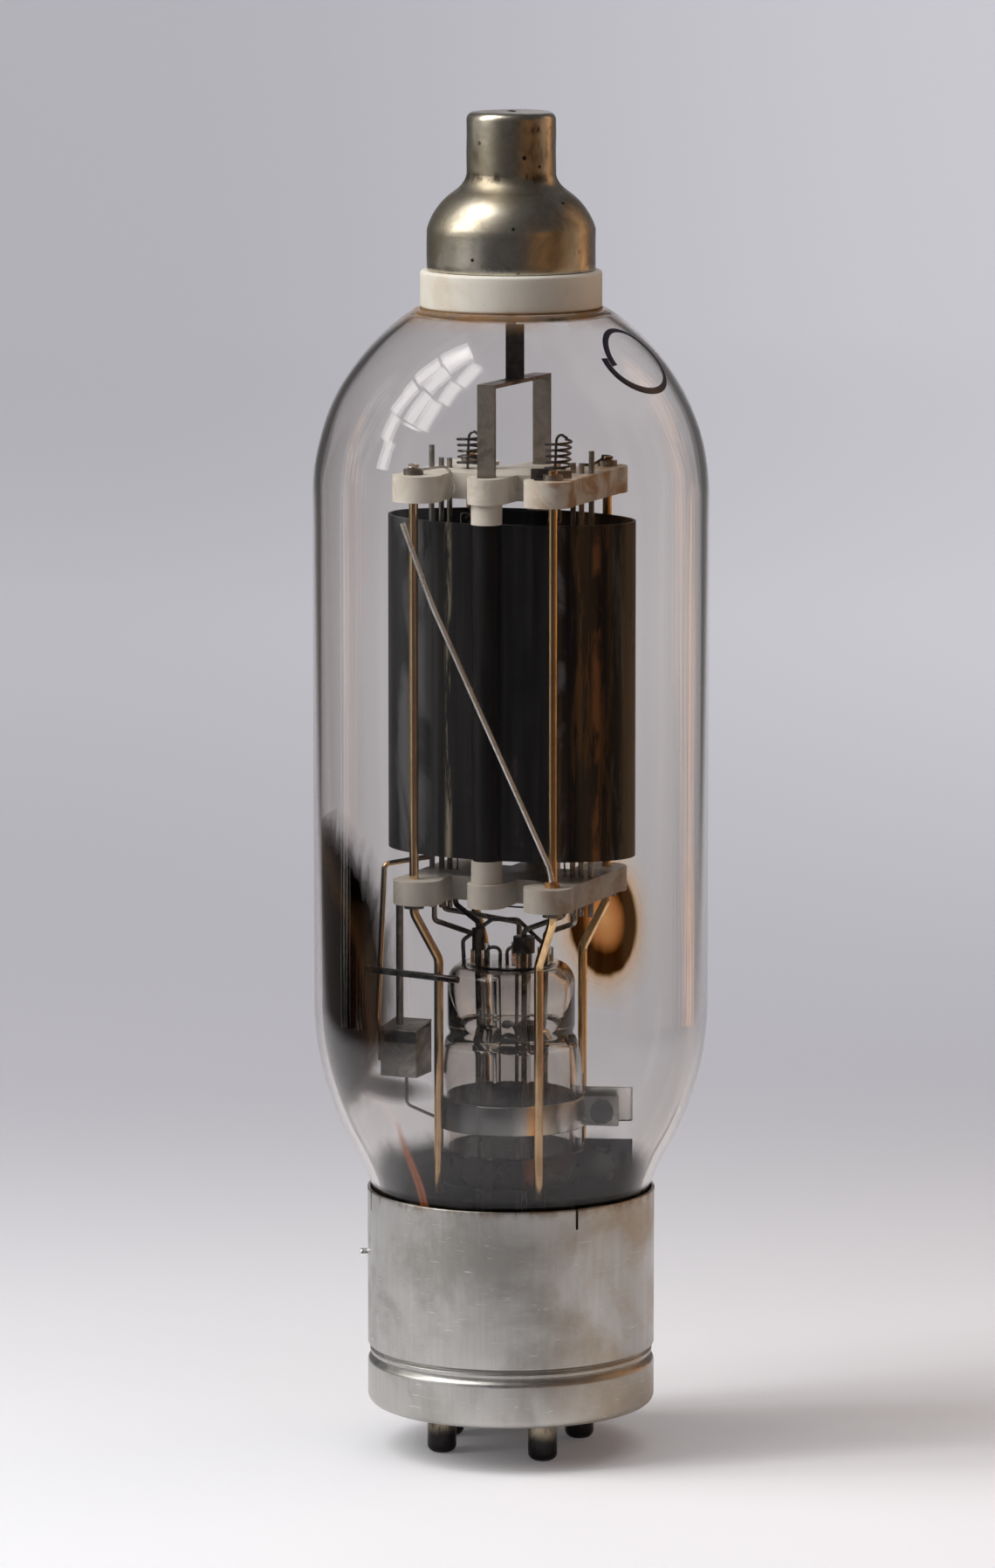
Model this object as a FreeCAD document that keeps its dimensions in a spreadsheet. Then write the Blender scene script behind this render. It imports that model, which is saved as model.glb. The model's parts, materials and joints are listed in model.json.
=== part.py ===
import FreeCAD, Part
import math
import os
import Sketcher

# A large transmitting pentode of the 1930s: a T-20 glass bulb on a five-pin giant base with a metal
# shell, and a skirted top cap that carries the anode. Millimetres, +Z up. The origin is on the tube's
# axis, at the tips of the base pins. Azimuths are in degrees from -Y (the front) towards +X.
# The cage of electrodes is drawn in its own frame, X along the anode's long axis, and is then turned
# about the tube's axis by cage_turn.

SIZES = {
    # base
    "pin_radius": 2.38, "pin_ring": 12.4, "pin_top": 14.1, "pin_rivet": 2.9, "pin_bore": 0.9,
    "pin_bore_floor": 2.5, "pin_shank": 1.9,
    "shell_radius": 23.4, "shell_wall": 0.5, "shell_rim": 43.4, "shell_foot": 7.6, "shell_foot_round": 1.4,
    "shell_lip": 21.2, "groove_floor": 22.85, "groove_low": 15.2, "groove_high": 17.2, "groove_round": 1.6,
    "slit_width": 0.45, "slit_depth": 3.4, "insulator_low": 9.0, "insulator_high": 13.4,
    "bayonet_radius": 0.78, "bayonet_neck": 0.6, "bayonet_shoulder": 23.6, "bayonet_reach": 24.7,
    "bayonet_height": 32.0, "bayonet_head": 1.48, "bayonet_head_face": 21.8,
    # glass
    "bulb_radius": 32.05, "glass_wall": 1.2, "neck_radius": 21.4, "neck_low": 28.0, "neck_high": 34.76,
    "flare_angle": 30.0, "flare_in": 30.0, "flare_out": 49.5,
    "dome_start": 157.0, "dome_round": 35.2, "dome_flat": 186.9, "seal_radius": 4.6, "seal_top": 199.0,
    "stem_radius": 11.6, "stem_wall": 1.0, "stem_neck": 10.4, "stem_shoulder": 62.0, "stem_collar": 68.0,
    "stem_top": 80.5, "stem_round": 4.0, "stem_foot": 28.1, "stem_foot_radius": 20.1, "stem_bell_top": 42.0,
    "lead_ring": 5.6, "lead_radius": 0.45, "exhaust_radius": 3.2, "exhaust_wall": 0.7, "exhaust_tip": 20.0,
    "bead_bulge": 1.3, "bead_height": 2.2,
    # top cap
    "thimble_radius": 7.2, "thimble_low": 206.8, "thimble_top": 218.5, "thimble_round": 0.8,
    "cap_wall": 0.5, "skirt_radius": 13.6, "skirt_low": 193.15, "skirt_shoulder": 199.7,
    "skirt_round": 10.75, "ring_radius": 14.67, "ring_bore": 10.6, "ring_low": 187.1, "ring_high": 193.1,
    "anode_rod_radius": 0.8, "anode_rod_low": 177.5,
    # cage
    "cage_turn": -22.0, "rod_x": 12.0, "rod_y": 12.1, "rod_radius": 0.75, "rod_top": 162.3,
    "rod_low": 43.5, "rod_foot_x": 8.7, "rod_foot_y": 9.75, "rod_bend_high": 89.4, "rod_bend_low": 81.8,
    "spider_top": 160.7, "spider_under": 156.5, "spider_low_top": 95.1, "spider_low_under": 91.2,
    "spider_half_x": 14.9, "spider_half_y": 6.6, "lobe_radius": 4.0, "lobe_x": 11.3,
    "middle_lobe_radius": 3.1, "middle_x": 0.6,
    "hole_gap": 0.1, "collar_radius": 1.6, "collar_height": 0.9,
    "anode_half_x": 21.05, "anode_half_y": 12.0, "anode_sheet": 0.4, "anode_low": 98.8, "anode_top": 153.2,
    "anode_tube_radius": 2.2, "anode_tube_wall": 0.45, "bushing_radius": 2.5, "bushing_hole": 1.7,
    "strap_width": 3.0, "strap_sheet": 0.5, "bracket_sheet": 0.6, "bracket_top": 175.5,
    "bracket_foot": 140.0,
    "post_radius": 0.45, "suppressor_x": 13.9, "screen_x": 12.2, "control_x": 10.75,
    "post_top": 164.3, "post_foot": 88.6,
    "filament_x": 7.6, "filament_spread": 1.9, "filament_radius": 0.15, "filament_foot": 90.4,
    "hook_radius": 0.4, "hook_low": 152.6, "hook_hole": 0.5, "hook_cap_radius": 1.9, "hook_cap": 0.5,
    "hook_reach": 1.7, "spring_turns": 4.5, "grid_wire": 0.12, "grid_pitch": 2.2,
    "control_depth": 2.6, "screen_depth": 4.6, "suppressor_depth": 7.0,
    "spring_low": 160.8, "spring_high": 166.0, "spring_radius": 2.08, "spring_wire": 0.18,
    # getter and braces
    "getter_width": 6.4, "getter_depth": 8.0, "getter_height": 8.5, "getter_low": 61.7,
    "getter_sheet": 0.3, "getter_slot": 1.3, "getter_x": -16.2, "getter_y": -5.25, "clamp_turn": -5.0,
    "clamp_radius": 12.3, "clamp_sheet": 0.6, "clamp_height": 4.8, "clamp_low": 53.7, "clamp_step": 8.6,
    "ear_reach": 17.7, "ear_gap": 1.4, "screw_radius": 0.8, "screw_head": 1.9,
    "screw_head_height": 1.1, "nut_flat": 1.9, "nut_height": 1.3,
}

GAP = 0.02            # between pieces that touch
PIN_AZIMUTHS = (24.5, -65.5, 234.5, 174.5, 114.5)
LEAD_AZIMUTHS = (22.0, -71.0, 238.0, 166.0, 94.0)
SLIT_AZIMUTHS = (-76.5, 26.9, 103.5, 206.9)
BAYONET_AZIMUTH = -90.0

doc = FreeCAD.newDocument("TransmittingPentode")
NODES = []


class Size:
    """A number together with the spreadsheet formula that gives it."""

    def __init__(self, number, formula):
        self.number = number
        self.formula = formula

    def join(self, other, sign, number):
        return Size(number, "({} {} {})".format(self.formula, sign, as_size(other).formula))

    def __add__(self, other):
        return self.join(other, "+", self.number + as_size(other).number)

    def __sub__(self, other):
        return self.join(other, "-", self.number - as_size(other).number)

    def __mul__(self, other):
        return self.join(other, "*", self.number * as_size(other).number)

    def __rsub__(self, other):
        return as_size(other) - self

    def __neg__(self):
        return Size(-self.number, "(-1 * {})".format(self.formula))

    def __float__(self):
        return float(self.number)

    __radd__ = __add__
    __rmul__ = __mul__


def as_size(value):
    return value if isinstance(value, Size) else Size(float(value), repr(float(value)))


def size(name):
    return Size(SIZES[name], "Sizes." + name)


def sine(angle):
    return Size(math.sin(math.radians(angle.number)), "sin({})".format(angle.formula))


def cosine(angle):
    return Size(math.cos(math.radians(angle.number)), "cos({})".format(angle.formula))


def root(value):
    return Size(math.sqrt(value.number), "sqrt({})".format(value.formula))


def on_ring(radius, azimuth):
    """The x and y of a point at an azimuth on a ring about the tube's axis."""
    turn = as_size(azimuth)
    return sine(turn) * radius, -(cosine(turn) * radius)


def make_sheet():
    sheet = doc.addObject("Spreadsheet::Sheet", "Sizes")
    for row, (name, number) in enumerate(SIZES.items(), start=1):
        sheet.set("A{}".format(row), name)
        sheet.set("B{}".format(row), str(number))
        sheet.setAlias("B{}".format(row), name)
    doc.recompute()


def bind(item, **values):
    """Give an object's properties their values, as formulas over the spreadsheet."""
    for name, value in values.items():
        item.setExpression(name, as_size(value).formula)
    return item


def put(item, x=0, y=0, z=0):
    """Bind an object's position."""
    for axis, value in (("x", x), ("y", y), ("z", z)):
        item.setExpression("Placement.Base." + axis, as_size(value).formula)
    return item


def node(item, name, in_cage=False, placement=None):
    """Name a finished sub-part, place it and keep it for the export."""
    item.Label = name
    if in_cage:
        item.Placement = FreeCAD.Placement(FreeCAD.Vector(),
                                           FreeCAD.Rotation(FreeCAD.Vector(0, 0, 1), SIZES["cage_turn"]))
    elif placement is not None:
        item.Placement = placement
    NODES.append(item)
    return item


# ---------------------------------------------------------------- sketches and bodies

def origin_plane(body, role):
    return next(item for item in body.Origin.OriginFeatures if item.Role == role)


def new_sketch(body, name, role):
    sketch = body.newObject("Sketcher::SketchObject", name)
    sketch.AttachmentSupport = [(origin_plane(body, role), "")]
    sketch.MapMode = "FlatFace"
    return sketch


def arc_centre(start, end, radius):
    """The centre of the short arc from start to end: left of the way for a positive radius."""
    dx, dy = end[0] - start[0], end[1] - start[1]
    chord = math.hypot(dx, dy)
    rise = math.sqrt(max(radius * radius - chord * chord / 4.0, 0.0)) * (1 if radius > 0 else -1)
    return (start[0] + end[0]) / 2.0 - dy / chord * rise, (start[1] + end[1]) / 2.0 + dx / chord * rise


def add_edge(sketch, start, end, radius):
    """Add a line, or an arc for a radius, and return the numbers of its start and end points."""
    if radius is None:
        sketch.addGeometry(Part.LineSegment(FreeCAD.Vector(*start, 0), FreeCAD.Vector(*end, 0)), False)
        return 1, 2
    centre = arc_centre(start, end, radius)
    first, last = (start, end) if radius > 0 else (end, start)
    angles = [math.atan2(p[1] - centre[1], p[0] - centre[0]) for p in (first, last)]
    if angles[1] < angles[0]:
        angles[1] += 2 * math.pi
    circle = Part.Circle(FreeCAD.Vector(*centre, 0), FreeCAD.Vector(0, 0, 1), abs(radius))
    sketch.addGeometry(Part.ArcOfCircle(circle, angles[0], angles[1]), False)
    return (1, 2) if radius > 0 else (2, 1)


def fix_point(sketch, edge, corner, axis, value):
    """Hold one coordinate of a corner at its formula."""
    if abs(value.number) < 1e-9:
        sketch.addConstraint(Sketcher.Constraint("PointOnObject", edge, corner, -2 if axis == "X" else -1))
        return
    index = sketch.addConstraint(Sketcher.Constraint("Distance" + axis, -1, 1, edge, corner, value.number))
    sketch.setExpression("Constraints[{}]".format(index), value.formula)


def draw_outline(sketch, corners):
    """Draw a closed outline. Each corner is (x, y), or (x, y, radius) where an arc leads to the next."""
    corners = [(as_size(c[0]), as_size(c[1]), as_size(c[2]) if len(c) > 2 else None) for c in corners]
    ends = []
    for here, after in zip(corners, corners[1:] + corners[:1]):
        radius = None if here[2] is None else here[2].number
        ends.append(add_edge(sketch, (here[0].number, here[1].number),
                             (after[0].number, after[1].number), radius))
    for edge, (start, end) in enumerate(ends):
        following = (edge + 1) % len(ends)
        sketch.addConstraint(Sketcher.Constraint("Coincident", edge, end, following, ends[following][0]))
    for edge, (x, y, radius) in enumerate(corners):
        fix_point(sketch, edge, ends[edge][0], "X", x)
        fix_point(sketch, edge, ends[edge][0], "Y", y)
        if radius is not None:
            index = sketch.addConstraint(Sketcher.Constraint("Radius", edge, abs(radius.number)))
            formula = radius.formula if radius.number > 0 else "abs({})".format(radius.formula)
            sketch.setExpression("Constraints[{}]".format(index), formula)


def draw_circle(sketch, x, y, radius):
    x, y, radius = as_size(x), as_size(y), as_size(radius)
    circle = Part.Circle(FreeCAD.Vector(x.number, y.number, 0), FreeCAD.Vector(0, 0, 1), radius.number)
    edge = sketch.addGeometry(circle, False)
    fix_point(sketch, edge, 3, "X", x)
    fix_point(sketch, edge, 3, "Y", y)
    index = sketch.addConstraint(Sketcher.Constraint("Radius", edge, radius.number))
    sketch.setExpression("Constraints[{}]".format(index), radius.formula)


def turned_body(name, corners):
    """A body turned about the tube's axis from an outline of (radius, height) corners."""
    body = doc.addObject("PartDesign::Body", name)
    sketch = new_sketch(body, name + "_profile", "XZ_Plane")
    draw_outline(sketch, corners)
    turn = body.newObject("PartDesign::Revolution", name + "_turn")
    turn.Profile = sketch
    turn.ReferenceAxis = (sketch, ["V_Axis"])
    turn.Angle = 360.0
    doc.recompute()
    return body


def pocket_holes(body, name, holes, start, length):
    """Cut round holes (x, y, radius) upwards from a height."""
    sketch = new_sketch(body, name, "XY_Plane")
    sketch.setExpression("AttachmentOffset.Base.z", as_size(start).formula)
    for x, y, radius in holes:
        draw_circle(sketch, x, y, radius)
    before = body.Shape.Volume
    pocket = body.newObject("PartDesign::Pocket", name + "_pocket")
    pocket.Profile = sketch
    pocket.Reversed = True
    bind(pocket, Length=length)
    doc.recompute()
    assert body.Shape.Volume < before, name + " cut nothing"


# ---------------------------------------------------------------- primitives and booleans

def cylinder(name, radius, low, high, x=0, y=0):
    item = doc.addObject("Part::Cylinder", name)
    bind(item, Radius=radius, Height=as_size(high) - low)
    return put(item, x, y, low)


def block(name, x, y, low, wide, deep, high):
    """A box centred on x and y, standing from low to high."""
    item = doc.addObject("Part::Box", name)
    bind(item, Length=wide, Width=deep, Height=as_size(high) - low)
    return put(item, as_size(x) - as_size(wide) * 0.5, as_size(y) - as_size(deep) * 0.5, low)


def fuse(name, items):
    item = doc.addObject("Part::MultiFuse", name)
    item.Shapes = items
    item.Refine = True
    return item


def cut(name, base, tool):
    item = doc.addObject("Part::Cut", name)
    item.Base = base
    item.Tool = tool
    return item


def group(name, items):
    item = doc.addObject("Part::Compound", name)
    item.Links = items
    return item


def tube(name, outer, inner, low, high, x=0, y=0):
    """A plain tube, by cutting one cylinder from another."""
    solid = cylinder(name + "_outer", outer, low, high, x, y)
    hole = cylinder(name + "_inner", inner, as_size(low) - 1.0, as_size(high) + 1.0, x, y)
    return cut(name, solid, hole)


def wire_path(points, bend):
    """Straight runs joined by tangent arcs, as one wire."""
    points = [FreeCAD.Vector(*[float(value) for value in point]) for point in points]
    edges = []
    here = points[0]
    for before, corner, after in zip(points, points[1:], points[2:]):
        back = (before - corner).normalize()
        ahead = (after - corner).normalize()
        half = back.getAngle(ahead) / 2.0
        reach = float(bend) / math.tan(half)
        start, end = corner + back * reach, corner + ahead * reach
        middle = corner + (back + ahead).normalize() * (float(bend) / math.sin(half) - float(bend))
        edges.append(Part.LineSegment(here, start).toShape())
        edges.append(Part.Arc(start, middle, end).toShape())
        here = end
    edges.append(Part.LineSegment(here, points[-1]).toShape())
    return Part.Wire(edges)


def bent_wire(points, radius, bend=1.5):
    """A round wire bent in space through points."""
    path = wire_path(points, bend)
    start, towards = path.Edges[0].valueAt(0), path.Edges[0].tangentAt(0)
    section = Part.Wire(Part.makeCircle(float(radius), start, towards))
    return path.makePipeShell([section], True, False)


def feature(name, shape):
    """A piece made with Part's own functions, for wires that bend in space."""
    item = doc.addObject("Part::Feature", name)
    item.Shape = shape
    return item



def turned_about_axis(name, item, degrees):
    """A copy of an item's shape, turned about the tube's axis."""
    turned = group(name, [item])
    turned.Placement = FreeCAD.Placement(FreeCAD.Vector(), FreeCAD.Rotation(FreeCAD.Vector(0, 0, 1), degrees))
    return turned


# ---------------------------------------------------------------- base

def make_base_shell():
    """Drawn metal shell: rounded rim, rolled groove, foot rolled in under the insulator, four rim slits."""
    radius, wall, foot = size("shell_radius"), size("shell_wall"), size("shell_foot")
    rim, lip, curl = size("shell_rim"), size("shell_lip"), size("shell_foot_round")
    low, high, floor = size("groove_low"), size("groove_high"), size("groove_floor")
    inner = radius - wall
    shell = turned_body("shell_body", [
        (lip, foot),
        (radius - curl, foot, curl),
        (radius, foot + curl),
        (radius, low, size("groove_round")),
        (floor, high - wall),
        (radius, high),
        (radius, rim - wall * 0.5, wall * 0.5),
        (radius - wall * 0.5, rim, wall * 0.5),
        (inner, rim - wall * 0.5),
        (inner, high + wall),
        (floor - wall, high - wall * 0.5),
        (floor - wall, low + wall),
        (inner, low - wall),
        (inner, foot + curl, wall - curl),
        (radius - curl, foot + wall),
        (lip, foot + wall)])
    slits = []
    for number, azimuth in enumerate(SLIT_AZIMUTHS):
        slit = block("slit_{}".format(number), 0, 0, rim - size("slit_depth"), size("slit_width"),
                     radius * 2.2, rim + 1.0)
        slits.append(turned_about_axis("turned_slit_{}".format(number), slit, azimuth))
    peg_hole = bayonet_bore("bayonet_hole", size("bayonet_neck") + GAP, 4.0)
    node(cut("shell_cut", shell, fuse("shell_openings", slits + [peg_hole])), "base_shell")


def bayonet_bore(name, radius, length):
    """A round bar through the shell's wall, where the bayonet peg goes."""
    bore = doc.addObject("Part::Cylinder", name)
    bind(bore, Radius=radius, Height=length)
    bore.Placement.Rotation = FreeCAD.Rotation(FreeCAD.Vector(0, 0, 1), FreeCAD.Vector(-1, 0, 0))
    return put(bore, as_size(length) * 0.5 - size("shell_radius"), 0, size("bayonet_height"))


def make_bayonet_pin():
    """Shouldered peg: a head inside the shell, a thinner neck through its wall and the round peg outside."""
    radius, neck, head = size("bayonet_radius"), size("bayonet_neck"), size("bayonet_head")
    face = size("bayonet_head_face")
    shoulder, tip = size("bayonet_shoulder") - face, size("bayonet_reach") - face
    head_high, edge = 0.6, 0.3
    body = turned_body("bayonet_body", [
        (0, 0), (head, 0), (head, head_high), (neck, head_high), (neck, shoulder), (radius, shoulder),
        (radius, tip - edge, edge), (radius - edge, tip), (0, tip)])
    outwards = FreeCAD.Vector(*[float(v) for v in on_ring(1.0, BAYONET_AZIMUTH)], 0)
    start = outwards * SIZES["bayonet_head_face"]
    start.z = SIZES["bayonet_height"]
    placement = FreeCAD.Placement(start, FreeCAD.Rotation(FreeCAD.Vector(0, 0, 1), outwards))
    node(body, "bayonet_pin", placement=placement)


def make_base_insulator():
    """Moulded disc that closes the base, with a hole for each pin."""
    low, high = size("insulator_low"), size("insulator_high")
    rim = size("shell_radius") - size("shell_wall") - 0.1
    body = turned_body("insulator_body", [
        (0, low), (rim - 1.6, low), (rim, low + 1.6), (rim, high - 0.6), (rim - 1.2, high), (0, high)])
    holes = [on_ring(size("pin_ring"), azimuth) + (size("pin_shank") + GAP,) for azimuth in PIN_AZIMUTHS]
    pocket_holes(body, "insulator_holes", holes, low - 1.0, high - low + 2.0)
    node(body, "base_insulator")


def make_base_pins():
    """Five alike hollow pins, each riveted over on the insulator and soldered to its lead at the tip."""
    radius, shank, rivet = size("pin_radius"), size("pin_shank"), size("pin_rivet")
    low, high, top = size("insulator_low") - GAP, size("insulator_high") + GAP, size("pin_top")
    bore, floor = size("pin_bore"), size("pin_bore_floor")
    for number, azimuth in enumerate(PIN_AZIMUTHS, start=1):
        body = turned_body("pin_body_{}".format(number), [
            (0, 0), (radius * 0.45, 0, radius * 0.9), (radius, 1.3), (radius, low),
            (shank, low), (shank, high), (rivet, high), (rivet, top), (bore, top), (bore, floor), (0, floor)])
        x, y = on_ring(size("pin_ring"), azimuth)
        node(put(body, x, y), "base_pin_{}".format(number))


def make_base_cement():
    """Ring of cement that holds the bulb's neck in the shell."""
    inner = size("shell_radius") - size("shell_wall") - GAP
    neck = size("neck_radius")
    rise = size("flare_in")
    low, high, rim = size("neck_low") + 2.0, size("neck_high"), size("shell_rim") - 0.5
    climb = rim - high
    edge = neck + rise - root(rise * rise - climb * climb) + GAP * 2.0
    ring = turned_body("cement_body", [
        (neck + GAP, low), (inner, low), (inner, rim), (edge, rim, rise), (neck + GAP, high)])
    peg = bayonet_bore("cement_peg_hole", size("bayonet_head") + GAP, 4.0)
    node(cut("cement_cut", ring, peg), "base_cement")


# ---------------------------------------------------------------- glass

def bulb_bend():
    """The point where the bulb's hollow and rounded lower curves meet."""
    angle = size("flare_angle")
    turn_in, turn_out = size("flare_in"), size("flare_out")
    radius = size("neck_radius") + turn_in * (1.0 - cosine(angle))
    height = size("neck_high") + turn_in * sine(angle)
    top = height + turn_out * sine(angle)
    return radius, height, top


def make_glass_bulb():
    """Blown bulb: straight neck, flared shoulder, cylinder and dome, with the anode seal on top."""
    wall, neck, low = size("glass_wall"), size("neck_radius"), size("neck_low")
    high, radius = size("neck_high"), size("bulb_radius")
    turn_in, turn_out, angle = size("flare_in"), size("flare_out"), size("flare_angle")
    bend_radius, bend_height, shoulder = bulb_bend()
    shift = wall * cosine(angle)
    drop = wall * sine(angle)
    start, rounding, flat = size("dome_start"), size("dome_round"), size("dome_flat")
    inner = rounding - wall
    rise, inner_rise = flat - start, flat - wall - start
    centre = radius - rounding
    edge = centre + root(rounding * rounding - rise * rise)
    inner_edge = centre + root(inner * inner - inner_rise * inner_rise)
    seal, top, hole = size("seal_radius"), size("seal_top"), size("anode_rod_radius") + GAP
    node(turned_body("bulb_body", [
        (neck - wall, low),
        (neck, low),
        (neck, high, -turn_in),
        (bend_radius, bend_height, turn_out),
        (radius, shoulder),
        (radius, start, rounding),
        (edge, flat),
        (seal + 1.8, flat, -1.8),
        (seal, flat + 1.8),
        (seal, top - 2.0, 2.0),
        (seal - 2.0, top),
        (hole, top),
        (hole, flat - wall),
        (inner_edge, flat - wall, -inner),
        (radius - wall, start),
        (radius - wall, shoulder, wall - turn_out),
        (bend_radius - shift, bend_height + drop, turn_in + wall),
        (neck - wall, high)]), "glass_bulb")


def lead_points():
    return [on_ring(size("lead_ring"), azimuth) for azimuth in LEAD_AZIMUTHS]


def make_stem_glass():
    """Bell-mouthed stem, closed on top, where the leads and the exhaust tube are sealed in."""
    radius, wall, neck = size("stem_radius"), size("stem_wall"), size("stem_neck")
    foot, foot_radius, bell = size("stem_foot"), size("stem_foot_radius"), size("stem_bell_top")
    shoulder, collar, top = size("stem_shoulder"), size("stem_collar"), size("stem_top")
    rounding = size("stem_round")
    bell_turn = size("flare_in") * 0.5
    body = turned_body("stem_body", [
        (foot_radius - wall, foot),
        (foot_radius, foot, -bell_turn),
        (radius, bell),
        (radius, shoulder, collar - shoulder),
        (neck + 0.4, collar),
        (neck, collar + 0.6),
        (neck, top - rounding, rounding),
        (neck - rounding, top),
        (0, top),
        (0, top - wall),
        (neck - rounding, top - wall, wall - rounding),
        (neck - wall, top - rounding),
        (neck - wall, collar),
        (radius - wall, shoulder),
        (radius - wall, bell, bell_turn + wall)])
    holes = [point + (size("lead_radius") + GAP,) for point in lead_points()]
    holes.append((0, 0, size("exhaust_radius") - size("exhaust_wall")))
    pocket_holes(body, "stem_holes", holes, top - wall - 1.0, wall + 2.0)
    node(body, "stem_glass")


def make_exhaust_tube():
    """Glass tube from the stem's top down into the base, melted shut at its tip."""
    radius, wall, tip = size("exhaust_radius"), size("exhaust_wall"), size("exhaust_tip")
    top = size("stem_top") - size("stem_wall") - GAP
    node(turned_body("exhaust_body", [
        (0, tip), (1.0, tip, radius * 1.2), (radius, tip + 4.0), (radius, top), (radius - wall, top),
        (radius - wall, tip + 5.0), (0, tip + 2.5)]), "exhaust_tube")


def make_seal_beads():
    """A bead of glass round each lead where it leaves the stem."""
    beads = []
    low = size("stem_top") + GAP
    for number, (x, y) in enumerate(lead_points()):
        beads.append(tube("seal_bead_{}".format(number), size("bead_bulge"), size("lead_radius") + GAP,
                          low, low + size("bead_height"), x, y))
    node(group("beads", beads), "seal_beads")


# ---------------------------------------------------------------- top cap

def make_cap():
    """Contact thimble on a domed skirt, on a ceramic ring cemented to the bulb."""
    wall, thimble, low = size("cap_wall"), size("thimble_radius"), size("thimble_low")
    top, rounding = size("thimble_top"), size("thimble_round")
    skirt, foot, shoulder = size("skirt_radius"), size("skirt_low"), size("skirt_shoulder")
    turn = size("skirt_round")
    rod_hole = size("anode_rod_radius") + GAP
    node(turned_body("thimble_body", [
        (thimble - wall, low + GAP), (thimble, low + GAP), (thimble, top - rounding, rounding),
        (thimble - rounding, top), (rod_hole, top), (rod_hole, top - wall),
        (thimble - rounding, top - wall, wall - rounding), (thimble - wall, top - rounding)]),
        "cap_thimble")
    node(turned_body("skirt_body", [
        (skirt - wall, foot), (skirt, foot), (skirt, shoulder, turn), (thimble, low),
        (thimble - 1.6, low), (thimble - 1.6, low - wall), (thimble - 0.1, low - wall, -(turn - wall)),
        (skirt - wall, shoulder)]), "cap_skirt")
    ring, bore, ring_low, ring_high = size("ring_radius"), size("ring_bore"), size("ring_low"), size("ring_high")
    node(turned_body("ring_body", [
        (bore, ring_low), (ring - 0.4, ring_low), (ring, ring_low + 0.4), (ring, ring_high - 0.6, 0.6),
        (ring - 0.6, ring_high), (bore, ring_high)]), "cap_ceramic_ring")
    glass, seal = size("dome_flat"), size("seal_radius")
    node(turned_body("cap_cement_body", [
        (seal + 2.0, glass + GAP), (ring + 0.1, glass + GAP), (ring + 0.1, ring_low - GAP),
        (bore - GAP, ring_low - GAP), (bore - GAP, ring_high), (seal + GAP, ring_high),
        (seal + GAP, glass + 2.0)]), "cap_cement")


def make_anode_lead():
    """Rod sealed through the bulb's top, and the flat strap from it to the bracket."""
    node(cylinder("anode_rod", size("anode_rod_radius"), size("anode_rod_low"), size("thimble_top") - 0.1),
         "anode_seal_rod")
    offset = size("anode_rod_radius") + size("strap_sheet") * 0.5 + GAP
    strap = block("anode_strap", size("middle_x"), -offset, size("bracket_top") + GAP, size("strap_width"),
                  size("strap_sheet"), size("dome_flat") - size("glass_wall") - 0.6)
    node(group("anode_straps", [strap]), "anode_lead_strap")


# ---------------------------------------------------------------- cage

def rod_corners():
    return [(sign_x, sign_y) for sign_x in (-1, 1) for sign_y in (-1, 1)]


def make_spider(name, under, top):
    """Ceramic spider: a body with six lobes, drilled for every rod and post that passes through it."""
    half_x, half_y, lobe = size("spider_half_x"), size("spider_half_y"), size("lobe_radius")
    middle, middle_x = size("middle_lobe_radius"), size("middle_x")
    rod_y = size("rod_y")
    pieces = [block(name + "_core", 0, 0, under, half_x * 2.0, half_y * 2.0, top)]
    for number, (sign_x, sign_y) in enumerate(rod_corners()):
        x, y = size("lobe_x") * sign_x, rod_y * sign_y
        pieces.append(cylinder("{}_lobe_{}".format(name, number), lobe, under, top, x, y))
        pieces.append(block("{}_arm_{}".format(name, number), x, y * 0.5, under, lobe * 1.8, rod_y, top))
    for number, sign_y in enumerate((-1, 1)):
        y = size("anode_half_y") * sign_y
        pieces.append(cylinder("{}_middle_lobe_{}".format(name, number), middle, under, top, middle_x, y))
        pieces.append(block("{}_middle_arm_{}".format(name, number), middle_x, y * 0.5, under,
                            middle * 2.0, size("anode_half_y"), top))
    holes = spider_holes(name, under, top)
    spider = cut(name + "_drilled", fuse(name + "_solid", pieces), fuse(name + "_holes", holes))
    node(spider, name, in_cage=True)


def spider_holes(name, under, top):
    """The drills for one spider: rods, bracket or tube pins, grid posts, filament hooks or legs."""
    low, high, gap = under - 1.0, top + 1.0, size("hole_gap")
    holes = []
    for sign_x, sign_y in rod_corners():
        holes.append((size("rod_x") * sign_x, size("rod_y") * sign_y, size("rod_radius") + gap))
    for sign_y in (-1, 1):
        holes.append((size("middle_x"), size("anode_half_y") * sign_y, size("bushing_hole")))
    for post in ("suppressor_x", "screen_x", "control_x"):
        for sign_x in (-1, 1):
            holes.append((size(post) * sign_x, 0, size("post_radius") + gap * 0.5))
    for sign_x in (-1, 1):
        middle = size("filament_x") * sign_x
        if name == "top_ceramic":
            holes.append((middle, 0, size("hook_hole")))
        else:
            for sign in (-1, 1):
                holes.append((middle + size("filament_spread") * sign, 0, size("filament_radius") + 0.35))
    return [cylinder("{}_hole_{}".format(name, number), radius, low, high, x, y)
            for number, (x, y, radius) in enumerate(holes)]


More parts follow.
